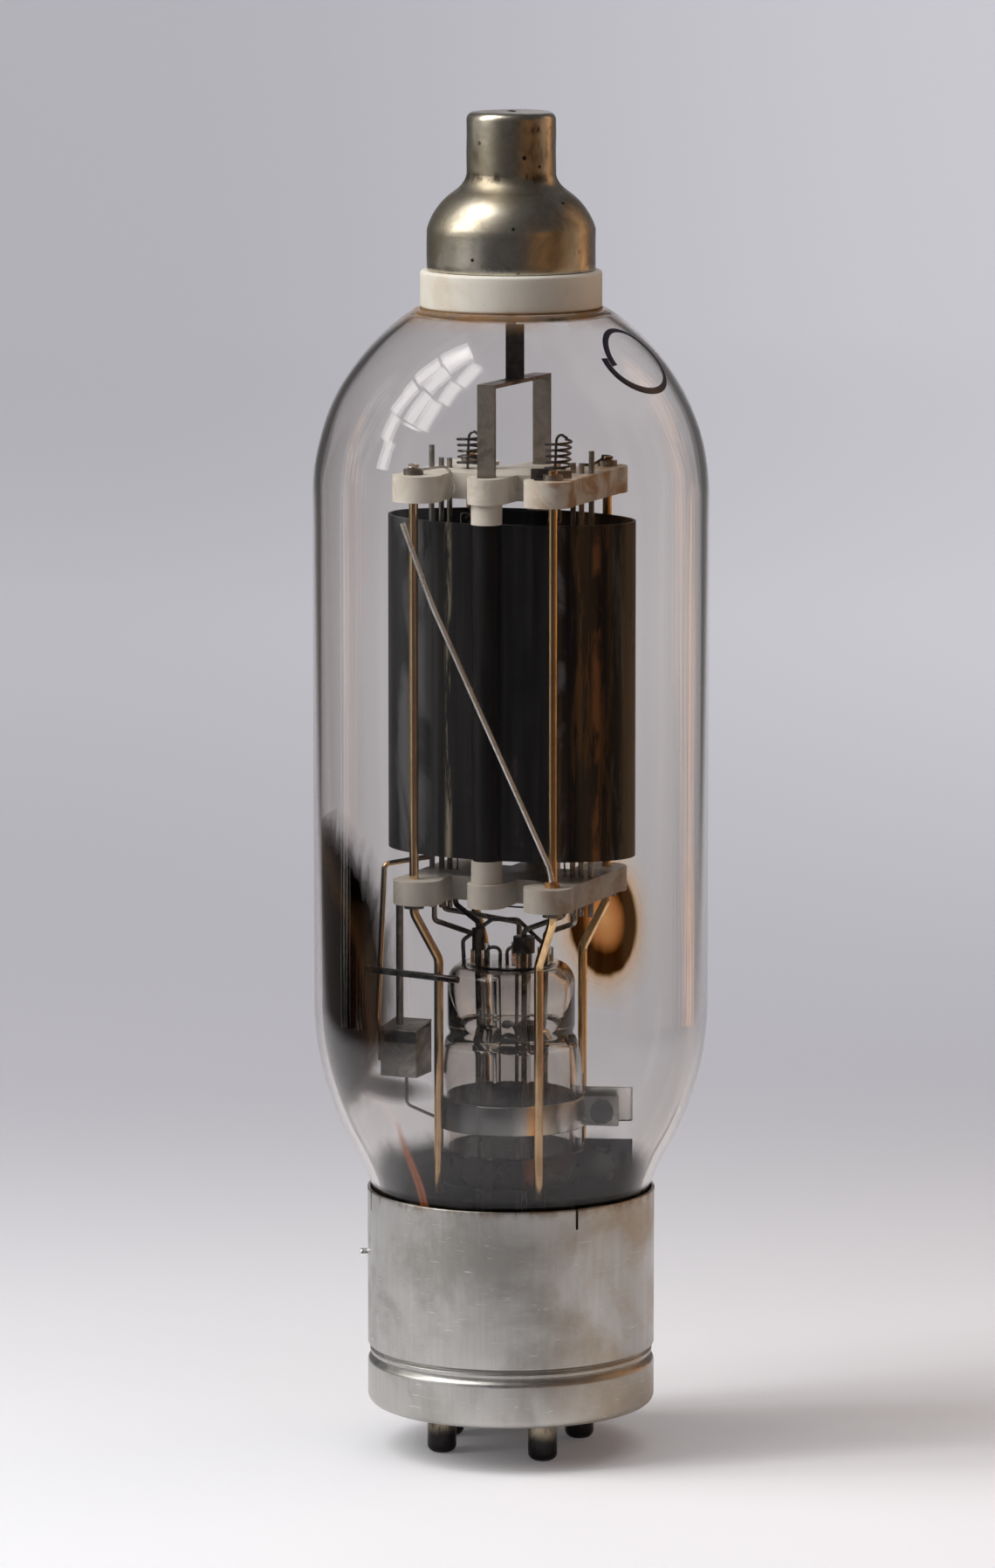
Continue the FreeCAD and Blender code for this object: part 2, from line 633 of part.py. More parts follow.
def make_support_rods():
    """Four rods that hold the spiders apart and bend in to the clamps on the stem."""
    names = {(-1, -1): "front_left", (1, -1): "front_right", (-1, 1): "back_left", (1, 1): "back_right"}
    for sign_x, sign_y in rod_corners():
        top = (SIZES["rod_x"] * sign_x, SIZES["rod_y"] * sign_y)
        foot = (SIZES["rod_foot_x"] * sign_x, SIZES["rod_foot_y"] * sign_y)
        points = [top + (SIZES["rod_top"],), top + (SIZES["rod_bend_high"],),
                  foot + (SIZES["rod_bend_low"],), foot + (SIZES["rod_low"],)]
        name = "support_rod_" + names[sign_x, sign_y]
        node(feature(name, bent_wire(points, SIZES["rod_radius"], 3.0)), name, in_cage=True)


def make_rod_collars():
    """Collars crimped on the rods above the top spider and below the bottom one."""
    collars = []
    inner = size("rod_radius") + GAP
    for level, low in enumerate((size("spider_top") + GAP,
                                 size("spider_low_under") - size("collar_height") - GAP)):
        for number, (sign_x, sign_y) in enumerate(rod_corners()):
            collars.append(tube("collar_{}_{}".format(level, number), size("collar_radius"), inner, low,
                                low + size("collar_height"), size("rod_x") * sign_x, size("rod_y") * sign_y))
    node(group("collars", collars), "rod_collars", in_cage=True)


def anode_oval(name, half_x, half_y, low, high):
    """An upright oval column."""
    oval = doc.addObject("Part::Ellipse", name + "_oval")
    bind(oval, MajorRadius=half_x, MinorRadius=half_y)
    oval.setExpression("Placement.Base.z", as_size(low).formula)
    column = doc.addObject("Part::Extrusion", name)
    column.Base = oval
    column.DirMode = "Custom"
    column.Dir = FreeCAD.Vector(0, 0, 1)
    column.Solid = True
    bind(column, LengthFwd=as_size(high) - low)
    return column


def make_anode():
    """Oval anode of two pressed halves, joined by a seam tube at the middle of the front and the back."""
    half_x, half_y, sheet = size("anode_half_x"), size("anode_half_y"), size("anode_sheet")
    low, top, tube_radius = size("anode_low"), size("anode_top"), size("anode_tube_radius")
    for side, name in ((-1, "anode_left_half"), (1, "anode_right_half")):
        shell = cut(name + "_shell", anode_oval(name + "_outside", half_x, half_y, low, top),
                    anode_oval(name + "_inside", half_x - sheet, half_y - sheet, low - 1.0, top + 1.0))
        away = [block(name + "_other_side", half_x * -0.55 * side, 0, low - 1.0, half_x * 1.1,
                      half_y * 2.5, top + 1.0)]
        for number, sign_y in enumerate((-1, 1)):
            away.append(cylinder("{}_seam_{}".format(name, number), tube_radius + GAP, low - 1.0, top + 1.0,
                                 size("middle_x"), half_y * sign_y))
        node(cut(name + "_sheet", shell, fuse(name + "_away", away)), name, in_cage=True)
    seams = [tube("seam_{}".format(number), tube_radius, tube_radius - size("anode_tube_wall"), low, top,
                  size("middle_x"), half_y * sign_y) for number, sign_y in enumerate((-1, 1))]
    node(group("seams", seams), "anode_seam_tubes", in_cage=True)


def make_bushings():
    """Ceramic bushings between the spiders and the seam tubes."""
    levels = (("top_bushings", size("anode_top") + GAP, size("spider_under") - GAP),
              ("bottom_bushings", size("spider_low_top") + GAP, size("anode_low") - GAP))
    for name, low, high in levels:
        pair = [tube("{}_{}".format(name, number), size("bushing_radius"), size("bushing_hole"), low, high,
                     size("middle_x"), size("anode_half_y") * sign_y)
                for number, sign_y in enumerate((-1, 1))]
        node(group(name + "_pair", pair), name, in_cage=True)


def make_anode_bracket():
    """Strip bent to an arch: a flat crossbar and two legs that run down into the seam tubes."""
    wide, sheet, top = size("strap_width"), size("bracket_sheet"), size("bracket_top")
    across, reach = size("middle_x"), size("anode_half_y")
    bar = block("bracket_bar", across, 0, top - sheet, wide, reach * 2.0 + sheet, top)
    legs = [block("bracket_leg_{}".format(number), across, reach * sign_y, size("bracket_foot"), wide, sheet,
                  top) for number, sign_y in enumerate((-1, 1))]
    node(fuse("bracket_solid", [bar] + legs), "anode_bracket", in_cage=True)


def make_grids():
    """Control, screen and suppressor grids: two posts each, with turns of fine wire welded round them."""
    tops = {"control": size("spider_top") + 1.6, "screen": size("spider_top") + 1.6,
            "suppressor": size("post_top")}
    for name, top in tops.items():
        x = size(name + "_x")
        posts = [cylinder("{}_post_{}".format(name, number), size("post_radius"), size("post_foot"),
                          top, x * sign_x, 0) for number, sign_x in enumerate((-1, 1))]
        turns = feature(name + "_turns", grid_turns(x.number, SIZES[name + "_depth"]))
        node(group(name + "_wires", posts + [turns]), name + "_grid", in_cage=True)


def grid_turns(post_x, depth):
    """Flattened rings of wire with round noses, stacked from the foot to the top of the anode."""
    wire, pitch, low = SIZES["grid_wire"], SIZES["grid_pitch"], SIZES["anode_low"] + 1.5
    tip = post_x + SIZES["post_radius"] + GAP + wire
    straight = tip - depth
    path = Part.Wire([
        Part.LineSegment(FreeCAD.Vector(0, depth, low), FreeCAD.Vector(-straight, depth, low)).toShape(),
        Part.Arc(FreeCAD.Vector(-straight, depth, low), FreeCAD.Vector(-tip, 0, low),
                 FreeCAD.Vector(-straight, -depth, low)).toShape(),
        Part.LineSegment(FreeCAD.Vector(-straight, -depth, low),
                         FreeCAD.Vector(straight, -depth, low)).toShape(),
        Part.Arc(FreeCAD.Vector(straight, -depth, low), FreeCAD.Vector(tip, 0, low),
                 FreeCAD.Vector(straight, depth, low)).toShape(),
        Part.LineSegment(FreeCAD.Vector(straight, depth, low), FreeCAD.Vector(0, depth, low)).toShape()])
    section = Part.Wire(Part.makeCircle(wire, FreeCAD.Vector(0, depth, low), FreeCAD.Vector(1, 0, 0)))
    ring = path.makePipeShell([section], True, False)
    rings = []
    height = low
    while height < SIZES["anode_top"] - 1.0:
        copy = ring.copy()
        copy.translate(FreeCAD.Vector(0, 0, height - low))
        rings.append(copy)
        height += pitch
    return Part.makeCompound(rings)


def make_filaments():
    """Two hairpins of filament wire, each held taut by a hook hung on a small coil spring."""
    for side, name in ((-1, "left"), (1, "right")):
        middle = SIZES["filament_x"] * side
        node(feature("hairpin_" + name, hairpin(middle)), "filament_" + name, in_cage=True)
        node(feature("hook_" + name, filament_hook(middle)), "filament_hook_" + name, in_cage=True)
        node(feature("coil_" + name, spring_coil(middle)), "filament_spring_" + name, in_cage=True)


def hairpin(middle):
    """Filament wire up from one hole of the bottom spider, over the hook's foot and down to the other."""
    wire, spread, foot = SIZES["filament_radius"], SIZES["filament_spread"], SIZES["filament_foot"]
    over = SIZES["hook_low"] + 2.0 * SIZES["hook_radius"] + wire + GAP
    hang, drop = SIZES["hook_radius"] * 1.8, 1.8
    reach = -SIZES["hook_reach"] * 0.6
    return bent_wire([(middle - spread, 0, foot), (middle - hang, reach, over - drop),
                      (middle - hang, reach, over), (middle + hang, reach, over),
                      (middle + hang, reach, over - drop), (middle + spread, 0, foot)], wire, 0.45)


def filament_hook(middle):
    """Rod through the top spider, with a cap that sits on the spring and a foot bent forwards."""
    radius, foot, top = SIZES["hook_radius"], SIZES["hook_low"], SIZES["spring_high"] + GAP
    centre = foot + radius
    rod = bent_wire([(middle, -SIZES["hook_reach"], centre), (middle, 0, centre),
                     (middle, 0, top + 0.1)], radius, 0.45)
    cap = Part.makeCylinder(SIZES["hook_cap_radius"], SIZES["hook_cap"], FreeCAD.Vector(middle, 0, top))
    knob = Part.makeCylinder(radius * 1.4, 0.5, FreeCAD.Vector(middle, 0, top + SIZES["hook_cap"] - 0.1))
    return rod.fuse([cap, knob]).removeSplitter()


def spring_coil(middle):
    """Open compression coil between the top spider and the hook's cap: short runs with tangent arcs."""
    wire, radius = SIZES["spring_wire"], SIZES["spring_radius"] - SIZES["spring_wire"]
    low, high = SIZES["spring_low"] + wire, SIZES["spring_high"] - wire
    corners = 10
    reach = radius / math.cos(math.pi / corners)
    count = int(SIZES["spring_turns"] * corners)
    points = []
    for step in range(count + 1):
        angle = 2 * math.pi * step / corners
        points.append((middle + reach * math.cos(angle), reach * math.sin(angle),
                       low + (high - low) * step / count))
    return bent_wire(points, wire, radius * 0.9)


# ---------------------------------------------------------------- leads

def cage_point(x, y):
    """A point of the cage's own frame, in the tube's frame."""
    turn = math.radians(SIZES["cage_turn"])
    return x * math.cos(turn) - y * math.sin(turn), x * math.sin(turn) + y * math.cos(turn)


def lead_targets():
    """For each lead, in the order of the azimuths: its name, its end in the cage, and where it turns."""
    outer = SIZES["filament_x"] + SIZES["filament_spread"]
    beside = SIZES["filament_radius"] + SIZES["lead_radius"] + GAP
    beside_post = SIZES["post_radius"] + SIZES["lead_radius"] + GAP
    return (("filament_lead_right", (outer, -beside), 86.4),
            ("filament_lead_left", (-outer, -beside), 87.2),
            ("suppressor_lead", (-SIZES["suppressor_x"], beside_post), 84.0),
            ("screen_lead", (-SIZES["screen_x"], beside_post), 86.0),
            ("control_lead", (SIZES["control_x"], beside_post), 85.0))


def make_leads():
    """Five leads, each from its base pin up through the stem to its electrode."""
    ring, pin_ring = SIZES["lead_ring"], SIZES["pin_ring"]
    end_height = SIZES["spider_low_under"] - 0.3
    for azimuth, pin_azimuth, (name, end, turn_height) in zip(LEAD_AZIMUTHS, PIN_AZIMUTHS, lead_targets()):
        stem = tuple(float(v) for v in on_ring(ring, azimuth))
        pin = tuple(float(v) for v in on_ring(pin_ring, pin_azimuth))
        goal = cage_point(*end)
        points = [pin + (SIZES["pin_bore_floor"] + GAP,), pin + (SIZES["pin_top"] + 4.0,),
                  stem + (SIZES["neck_low"] + 6.0,), stem + (turn_height,),
                  goal + (turn_height + 2.2,), goal + (end_height,)]
        node(feature(name + "_wire", bent_wire(points, SIZES["lead_radius"], 0.8)), name)
    link_low, link_x = SIZES["filament_foot"] - 0.9, SIZES["filament_x"] - SIZES["filament_spread"]
    y = -(SIZES["filament_radius"] * 2.0 + GAP)
    link = bent_wire([(-link_x, y, end_height), (-link_x, y, link_low), (link_x, y, link_low),
                      (link_x, y, end_height)], SIZES["filament_radius"], 0.5)
    node(feature("link_wire", link), "filament_link", in_cage=True)


def make_lead_sleeves():
    """Sleeves on the two filament leads, between the stem and the cage."""
    low = size("stem_top") + size("bead_height") + GAP * 2.0
    inner = size("lead_radius") + GAP
    sleeves = []
    for number, ((x, y), radius, high) in enumerate(zip(lead_points(), (1.75, 1.05), (85.4, 86.2))):
        sleeves.append(tube("sleeve_{}".format(number), radius, inner, low, high, x, y))
    node(group("sleeves", sleeves), "lead_sleeves")


# ---------------------------------------------------------------- getter, braces and clamps

def make_getter():
    """Sheet-metal getter box with a slot under its roof, and the wires that carry it."""
    wide, deep, low = size("getter_width"), size("getter_depth"), size("getter_low")
    sheet, high = size("getter_sheet"), size("getter_low") + size("getter_height")
    x, y = size("getter_x"), size("getter_y")
    hollow = block("getter_hollow", x, y, low + sheet, wide - sheet * 2.0, deep - sheet * 2.0, high - sheet)
    slot = block("getter_slot_cut", x, y - deep * 0.5, high - sheet * 2.0 - size("getter_slot"),
                 wide - sheet * 2.0, deep * 0.4, high - sheet * 2.0)
    box = cut("getter_shell", block("getter_block", x, y, low, wide, deep, high),
              fuse("getter_openings", [hollow, slot]))
    node(box, "getter_box", in_cage=True)
    node(feature("outer_wire", bent_wire(
        [(-13.33, 4.96, 96.9), (-20.6, 0.9, 96.3), (-21.75, 0.6, 70.8), (-21.27, 0.4, 68.4),
         (-21.27, 0.4, 64.0)], 0.45, 1.0)), "getter_wire_outer")
    node(cylinder("inner_wire", 0.6, high + GAP, 90.9, -18.1, -1.43), "getter_wire_inner")
    node(feature("foot_wire", bent_wire(
        [(-17.0, -2.2, SIZES["getter_low"] - GAP), (-17.0, -2.2, 57.2), (-12.36, -1.56, 55.0)],
        0.25, 1.2)), "getter_foot_wire")


def make_braces():
    """The straight crossbar in front of the getter wires, and the slanting stay across the front."""
    bar_radius, height = 0.575, 79.0
    ends = (FreeCAD.Vector(-8.6, -9.67, height), FreeCAD.Vector(-23.5, 0.93, height))
    bar = Part.makeCylinder(bar_radius, (ends[1] - ends[0]).Length, ends[0], ends[1] - ends[0])
    node(feature("crossbar", bar), "getter_crossbar")
    stay = bent_wire([(6.5, -16.95, 96.2), (6.0, -16.95, 98.6), (-12.5, -14.2, 140.4),
                      (-17.3, -13.2, 153.6)], 0.45, 3.0)
    node(feature("stay", stay), "stay_rod")
    collar = tube("foot_collar", 1.2, size("rod_radius") + GAP, size("spider_low_top") + GAP,
                  size("spider_low_top") + 0.9, size("rod_x"), -size("rod_y"))
    node(group("stay_foot", [collar]), "stay_collar", in_cage=True)


def clamp_placement():
    return FreeCAD.Placement(FreeCAD.Vector(), FreeCAD.Rotation(FreeCAD.Vector(0, 0, 1), SIZES["clamp_turn"]))


def make_clamps():
    """Two split bands round the stem, each drawn together by a screw and nut through its ears."""
    radius, sheet, gap = size("clamp_radius"), size("clamp_sheet"), size("ear_gap")
    bands, screws, nuts = [], [], []
    for level in (0, 1):
        low = size("clamp_low") - size("clamp_step") * level
        high = low + size("clamp_height")
        tag = "_{}".format(level)
        ring = tube("band" + tag, radius, radius - sheet, low, high)
        opening = block("band_gap" + tag, radius, 0, low - 1.0, radius * 0.5, gap, high + 1.0)
        middle = (radius + size("ear_reach")) * 0.5 - 0.15
        ears = [block("ear{}_{}".format(tag, number), middle, (gap + sheet) * (0.5 * sign), low,
                      size("ear_reach") - radius + 0.3, sheet, high) for number, sign in enumerate((-1, 1))]
        hole = across("ear_hole" + tag, size("screw_radius") + 0.05, 8.0, (low + high) * 0.5, -4.0)
        bands.append(cut("clamp" + tag, fuse("clamp_sheet" + tag,
                                             [cut("split" + tag, ring, opening)] + ears), hole))
        screws.append(clamp_screw(tag, (low + high) * 0.5))
        nuts.append(clamp_nut(tag, (low + high) * 0.5))
    node(group("bands", bands), "stem_clamps", placement=clamp_placement())
    node(group("screws", screws), "clamp_screws", placement=clamp_placement())
    node(group("nuts", nuts), "clamp_nuts", placement=clamp_placement())


def across(name, radius, length, height, start):
    """A round bar along +Y through the middle of the clamp's ears."""
    bar = doc.addObject("Part::Cylinder", name)
    bar.Placement.Rotation = FreeCAD.Rotation(FreeCAD.Vector(0, 0, 1), FreeCAD.Vector(0, 1, 0))
    bind(bar, Radius=radius, Height=length)
    return put(bar, (size("clamp_radius") + size("ear_reach")) * 0.5, start, height)


def clamp_screw(tag, height):
    """Slotted round-headed screw, with its head at the front."""
    face = size("ear_gap") * 0.5 + size("clamp_sheet") + GAP
    head_height = size("screw_head_height")
    shank = across("screw_shank" + tag, size("screw_radius"), face * 2.0 + size("nut_height") + 0.9,
                   height, -face)
    head = across("screw_head" + tag, size("screw_head"), head_height, height, -(face + head_height))
    slot = block("screw_slot" + tag, (size("clamp_radius") + size("ear_reach")) * 0.5,
                 -(face + head_height), height - 2.5, 0.5, 1.0, height + 2.5)
    return cut("screw" + tag, fuse("screw_solid" + tag, [shank, head]), slot)


def clamp_nut(tag, height):
    """Hexagon nut behind the ears."""
    face = size("ear_gap") * 0.5 + size("clamp_sheet") + GAP
    nut = doc.addObject("Part::Prism", "nut_block" + tag)
    nut.Polygon = 6
    nut.Placement.Rotation = FreeCAD.Rotation(FreeCAD.Vector(0, 0, 1), FreeCAD.Vector(0, 1, 0))
    bind(nut, Circumradius=size("nut_flat") * 1.1547, Height=size("nut_height"))
    put(nut, (size("clamp_radius") + size("ear_reach")) * 0.5, face, height)
    return cut("nut" + tag, nut, across("nut_hole" + tag, size("screw_radius") + GAP, 6.0, height, 0))


def main():
    make_sheet()
    make_base_shell()
    make_bayonet_pin()
    make_base_insulator()
    make_base_pins()
    make_base_cement()
    make_glass_bulb()
    make_stem_glass()
    make_exhaust_tube()
    make_seal_beads()
    make_cap()
    make_anode_lead()
    make_spider("top_ceramic", size("spider_under"), size("spider_top"))
    make_spider("bottom_ceramic", size("spider_low_under"), size("spider_low_top"))
    make_support_rods()
    make_rod_collars()
    make_anode()
    make_bushings()
    make_anode_bracket()
    make_grids()
    make_filaments()
    make_leads()
    make_lead_sleeves()
    make_getter()
    make_braces()
    make_clamps()
    finish()


def finish():
    """Check every object, then write one STEP file for each sub-part."""
    doc.recompute()
    for item in doc.Objects:
        if "Invalid" in item.State or "Error" in item.State:
            raise RuntimeError("{} failed: {}".format(item.Label, item.State))
    os.makedirs("parts", exist_ok=True)
    for item in NODES:
        shape = item.Shape
        if shape.isNull() or not shape.isValid() or shape.Volume <= 0:
            raise RuntimeError(item.Label + " has no valid shape")
        shape.exportStep("parts/{}.step".format(item.Label))
        print("{:28s} {:3d} solids {:10.2f} mm3".format(item.Label, len(shape.Solids), shape.Volume))


main()
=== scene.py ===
import json
from math import acos, asin, atan2, cos, degrees, dist, exp, pi, radians, sin, sqrt, tan

import bmesh
import bpy
from mathutils import Matrix, Vector


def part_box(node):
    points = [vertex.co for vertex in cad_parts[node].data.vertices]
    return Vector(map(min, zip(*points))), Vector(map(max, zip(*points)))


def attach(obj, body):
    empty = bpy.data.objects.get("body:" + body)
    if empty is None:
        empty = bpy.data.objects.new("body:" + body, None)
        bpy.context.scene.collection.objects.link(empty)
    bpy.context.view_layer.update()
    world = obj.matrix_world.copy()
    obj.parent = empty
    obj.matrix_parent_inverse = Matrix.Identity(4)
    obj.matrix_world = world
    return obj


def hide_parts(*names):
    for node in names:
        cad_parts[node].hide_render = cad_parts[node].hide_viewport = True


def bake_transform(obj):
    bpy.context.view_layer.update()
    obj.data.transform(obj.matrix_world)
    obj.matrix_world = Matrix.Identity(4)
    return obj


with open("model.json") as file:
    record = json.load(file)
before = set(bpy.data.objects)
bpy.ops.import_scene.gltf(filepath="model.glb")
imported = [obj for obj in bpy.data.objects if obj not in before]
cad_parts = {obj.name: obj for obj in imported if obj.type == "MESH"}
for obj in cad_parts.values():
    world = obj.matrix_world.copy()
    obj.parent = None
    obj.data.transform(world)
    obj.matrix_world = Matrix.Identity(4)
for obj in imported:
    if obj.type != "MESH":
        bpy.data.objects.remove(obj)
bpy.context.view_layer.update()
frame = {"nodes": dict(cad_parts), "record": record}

# A large transmitting pentode on a bayonet base. Everything is built in millimetres by the functions
# below and turned into metres when a mesh is made. The tube's axis is Z, the front is -Y, azimuths go
# from the front towards +X. The cage of electrodes is turned by CAGE_TURN about the axis.

MM = 0.001
PANE_WATTS = 0.84
WALL_REACH = 0.34
CAGE_TURN = radians(-22)
TUBE = "tube"
MATERIALS = {}


# ---------------- places taken from the frame

def low_high(node):
    """A node's lowest and highest corners, in millimetres."""
    low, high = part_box(node)
    return Vector(low) / MM, Vector(high) / MM


def heights(node):
    low, high = low_high(node)
    return low.z, high.z


def round_radius(node):
    """The radius of a node that is round about the tube's axis."""
    low, high = low_high(node)
    return (high.x - low.x) / 2


def caged(x, y, z=0):
    """A point of the cage's own frame, in the tube's frame."""
    c, s = cos(CAGE_TURN), sin(CAGE_TURN)
    return Vector((x * c - y * s, x * s + y * c, z))


def at_azimuth(radius, azimuth, z=0):
    turn = radians(azimuth)
    return Vector((radius * sin(turn), -radius * cos(turn), z))


# ---------------- mesh helpers

def put_in_scene(name, data):
    item = bpy.data.objects.new(name, data)
    bpy.context.scene.collection.objects.link(item)
    return item


def add_object(name, mesh, slot, node=None, body=TUBE, crease=35, material=None):
    """Put a mesh in the scene as a piece of the tube, in its slot's material if no other is given."""
    mesh.shade_smooth()
    mesh.set_sharp_from_angle(angle=radians(crease))
    piece = put_in_scene(name, mesh)
    mesh.materials.append(material or MATERIALS[slot])
    if body is not None:
        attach(piece, body)
    if node is not None:
        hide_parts(node)
    return piece


def make_mesh(name, points, faces):
    mesh = bpy.data.meshes.new(name)
    mesh.from_pydata([tuple(c * MM for c in p) for p in points], [], faces)
    work = bmesh.new()
    work.from_mesh(mesh)
    bmesh.ops.recalc_face_normals(work, faces=work.faces)
    work.to_mesh(mesh)
    work.free()
    return mesh


def strips(rows, count, closed=True, first=0):
    """Faces between neighbouring rows of points, where every row has the same count of points."""
    faces = []
    for row in range(first, first + (rows - 1) * count, count):
        for step in range(count if closed else count - 1):
            follow = (step + 1) % count
            faces.append((row + step, row + follow, row + count + follow, row + count + step))
    return faces


def ends_of(rows, count):
    """The two faces that close the first and the last of such rows."""
    return [tuple(range(count)), tuple(range((rows - 1) * count, rows * count))]


def rounded(corners, steps=6):
    """A closed outline of (x, y) corners, each rounded by its own radius where it has one."""
    outline = []
    count = len(corners)
    for index, corner in enumerate(corners):
        here = Vector(corner[:2])
        if len(corner) < 3:
            outline.append(tuple(here))
            continue
        radius = corner[2]
        back = (Vector(corners[index - 1][:2]) - here).normalized()
        ahead = (Vector(corners[(index + 1) % count][:2]) - here).normalized()
        half = acos(max(-1, min(1, back.dot(ahead)))) / 2
        reach = radius / tan(half)
        centre = here + (back + ahead).normalized() * (radius / sin(half))
        first, last = here + back * reach - centre, here + ahead * reach - centre
        start = atan2(first.y, first.x)
        sweep = atan2(last.y, last.x) - start
        sweep = (sweep + pi) % (2 * pi) - pi
        for step in range(steps + 1):
            angle = start + sweep * step / steps
            outline.append((centre.x + radius * cos(angle), centre.y + radius * sin(angle)))
    return outline


def arc(centre_r, centre_z, radius, start, end, steps):
    """Points of a profile on an arc, with angles in degrees from the +r direction."""
    points = []
    for step in range(steps + 1):
        angle = radians(start + (end - start) * step / steps)
        points.append((centre_r + radius * cos(angle), centre_z + radius * sin(angle)))
    return points


def lathe(name, profile, steps=192, closed=True, swell=None, lift=None):
    """Turn an outline of (radius, height) points about Z.

    swell(angle, z) scales a point's distance from the axis, and lift(angle, z) raises it.
    """
    points, rows = [], []
    for radius, z in profile:
        if radius < 1e-6:
            rows.append([len(points)])
            points.append((0, 0, z))
            continue
        rows.append(range(len(points), len(points) + steps))
        for step in range(steps):
            turn = 2 * pi * step / steps
            x, y = radius * sin(turn), -radius * cos(turn)
            angle = atan2(y, x)
            scale = swell(angle, z) if swell else 1
            points.append((x * scale, y * scale, z + lift(angle, z) if lift else z))
    faces = []
    for here, after in zip(rows, rows[1:] + rows[:1] if closed else rows[1:]):
        for step in range(steps):
            follow = (step + 1) % steps
            if len(here) == 1 and len(after) == 1:
                continue
            if len(here) == 1:
                faces.append((here[0], after[step], after[follow]))
            elif len(after) == 1:
                faces.append((here[step], here[follow], after[0]))
            else:
                faces.append((here[step], here[follow], after[follow], after[step]))
    return make_mesh(name, points, faces)


def bend_path(corners, radius, steps=6):
    """Points along straight runs whose corners are rounded by a radius."""
    corners = [Vector(c) for c in corners]
    path = [corners[0]]
    for before, here, after in zip(corners, corners[1:], corners[2:]):
        back, ahead = (before - here), (after - here)
        half = back.angle(ahead) / 2
        if half > radians(89.5):
            path.append(here)
            continue
        limit = 0.45 * min(back.length, ahead.length)
        reach = min(radius / tan(half), limit)
        turn = reach * tan(half)
        back.normalize()
        ahead.normalize()
        centre = here + (back + ahead).normalized() * (turn / sin(half))
        first = here + back * reach - centre
        last = here + ahead * reach - centre
        path += [centre + first.slerp(last, step / steps) for step in range(steps + 1)]
    return path + [corners[-1]]


def tube_mesh(name, path, radius, sides=12, tip=0.25):
    """A round bar along a path, with its two ends rounded off."""
    path = [Vector(p) for p in path]
    last = len(path) - 1
    radii = [radius(i / last) if callable(radius) else radius for i in range(last + 1)]
    ends = [path[0].copy(), path[-1].copy()]
    round_off = tip * radii[0]
    ways = [(path[0] - path[1]).normalized(), (path[-1] - path[-2]).normalized()]
    path[0] = ends[0] - ways[0] * round_off
    path[-1] = ends[1] - ways[1] * round_off
    path = [ends[0]] + path + [ends[1]]
    radii = [radii[0] * (1 - tip)] + radii + [radii[-1] * (1 - tip)]
    last = len(path) - 1
    tangents = [(path[min(i + 1, last)] - path[max(i - 1, 0)]).normalized() for i in range(last + 1)]
    side = tangents[0].orthogonal().normalized()
    points = []
    for place, tangent, wide in zip(path, tangents, radii):
        side = (side - tangent * side.dot(tangent)).normalized()
        up = tangent.cross(side)
        for step in range(sides):
            angle = 2 * pi * step / sides
            points.append(place + (side * cos(angle) + up * sin(angle)) * wide)
    return make_mesh(name, points, strips(len(path), sides) + ends_of(len(path), sides))


def apply_modifiers(piece, crease=35):
    """Turn a piece's modifiers into mesh."""
    depsgraph = bpy.context.evaluated_depsgraph_get()
    mesh = bpy.data.meshes.new_from_object(piece.evaluated_get(depsgraph))
    piece.modifiers.clear()
    piece.data = mesh
    mesh.shade_smooth()
    mesh.set_sharp_from_angle(angle=radians(crease))


def round_edges(piece, width, segments):
    edge = piece.modifiers.new("edges", "BEVEL")
    edge.width = width * MM
    edge.segments = segments
    apply_modifiers(piece)


# ---------------- shader helper

def feed(socket, value):
    """Give a node's input a plain value, or link it to what another node works out."""
    if isinstance(value, Value):
        value = value.socket
    if isinstance(value, bpy.types.NodeSocket):
        socket.id_data.links.new(value, socket)
    else:
        socket.default_value = value


class Value:
    """A number or colour that a shader's nodes work out. Each sign + - * / adds a maths node."""

    def __init__(self, shader, socket):
        self.shader = shader
        self.socket = socket

    def __add__(self, other):
        return self.shader.maths("ADD", self, other)

    def __sub__(self, other):
        return self.shader.maths("SUBTRACT", self, other)

    def __mul__(self, other):
        return self.shader.maths("MULTIPLY", self, other)

    def __truediv__(self, other):
        return self.shader.maths("DIVIDE", self, other)

    def span(self, low, high, to_low=0, to_high=1):
        """The value's range mapped onto another, held at both ends."""
        node = self.shader.add("ShaderNodeMapRange", Value=self, From_Min=low, From_Max=high,
                               To_Min=to_low, To_Max=to_high)
        node.interpolation_type = "SMOOTHSTEP"
        return Value(self.shader, node.outputs["Result"])

    def ramp(self, *stops):
        """A colour or grey ramp: stops are (position, grey or colour)."""
        node = self.shader.add("ShaderNodeValToRGB", Fac=self)
        elements = node.color_ramp.elements
        elements[0].position, elements[1].position = stops[0][0], stops[-1][0]
        for position, colour in stops[1:-1]:
            elements.new(position)
        for element, (position, colour) in zip(elements, stops):
            element.color = (*colour, 1) if isinstance(colour, tuple) else (colour, colour, colour, 1)
        return Value(self.shader, node.outputs["Color"])


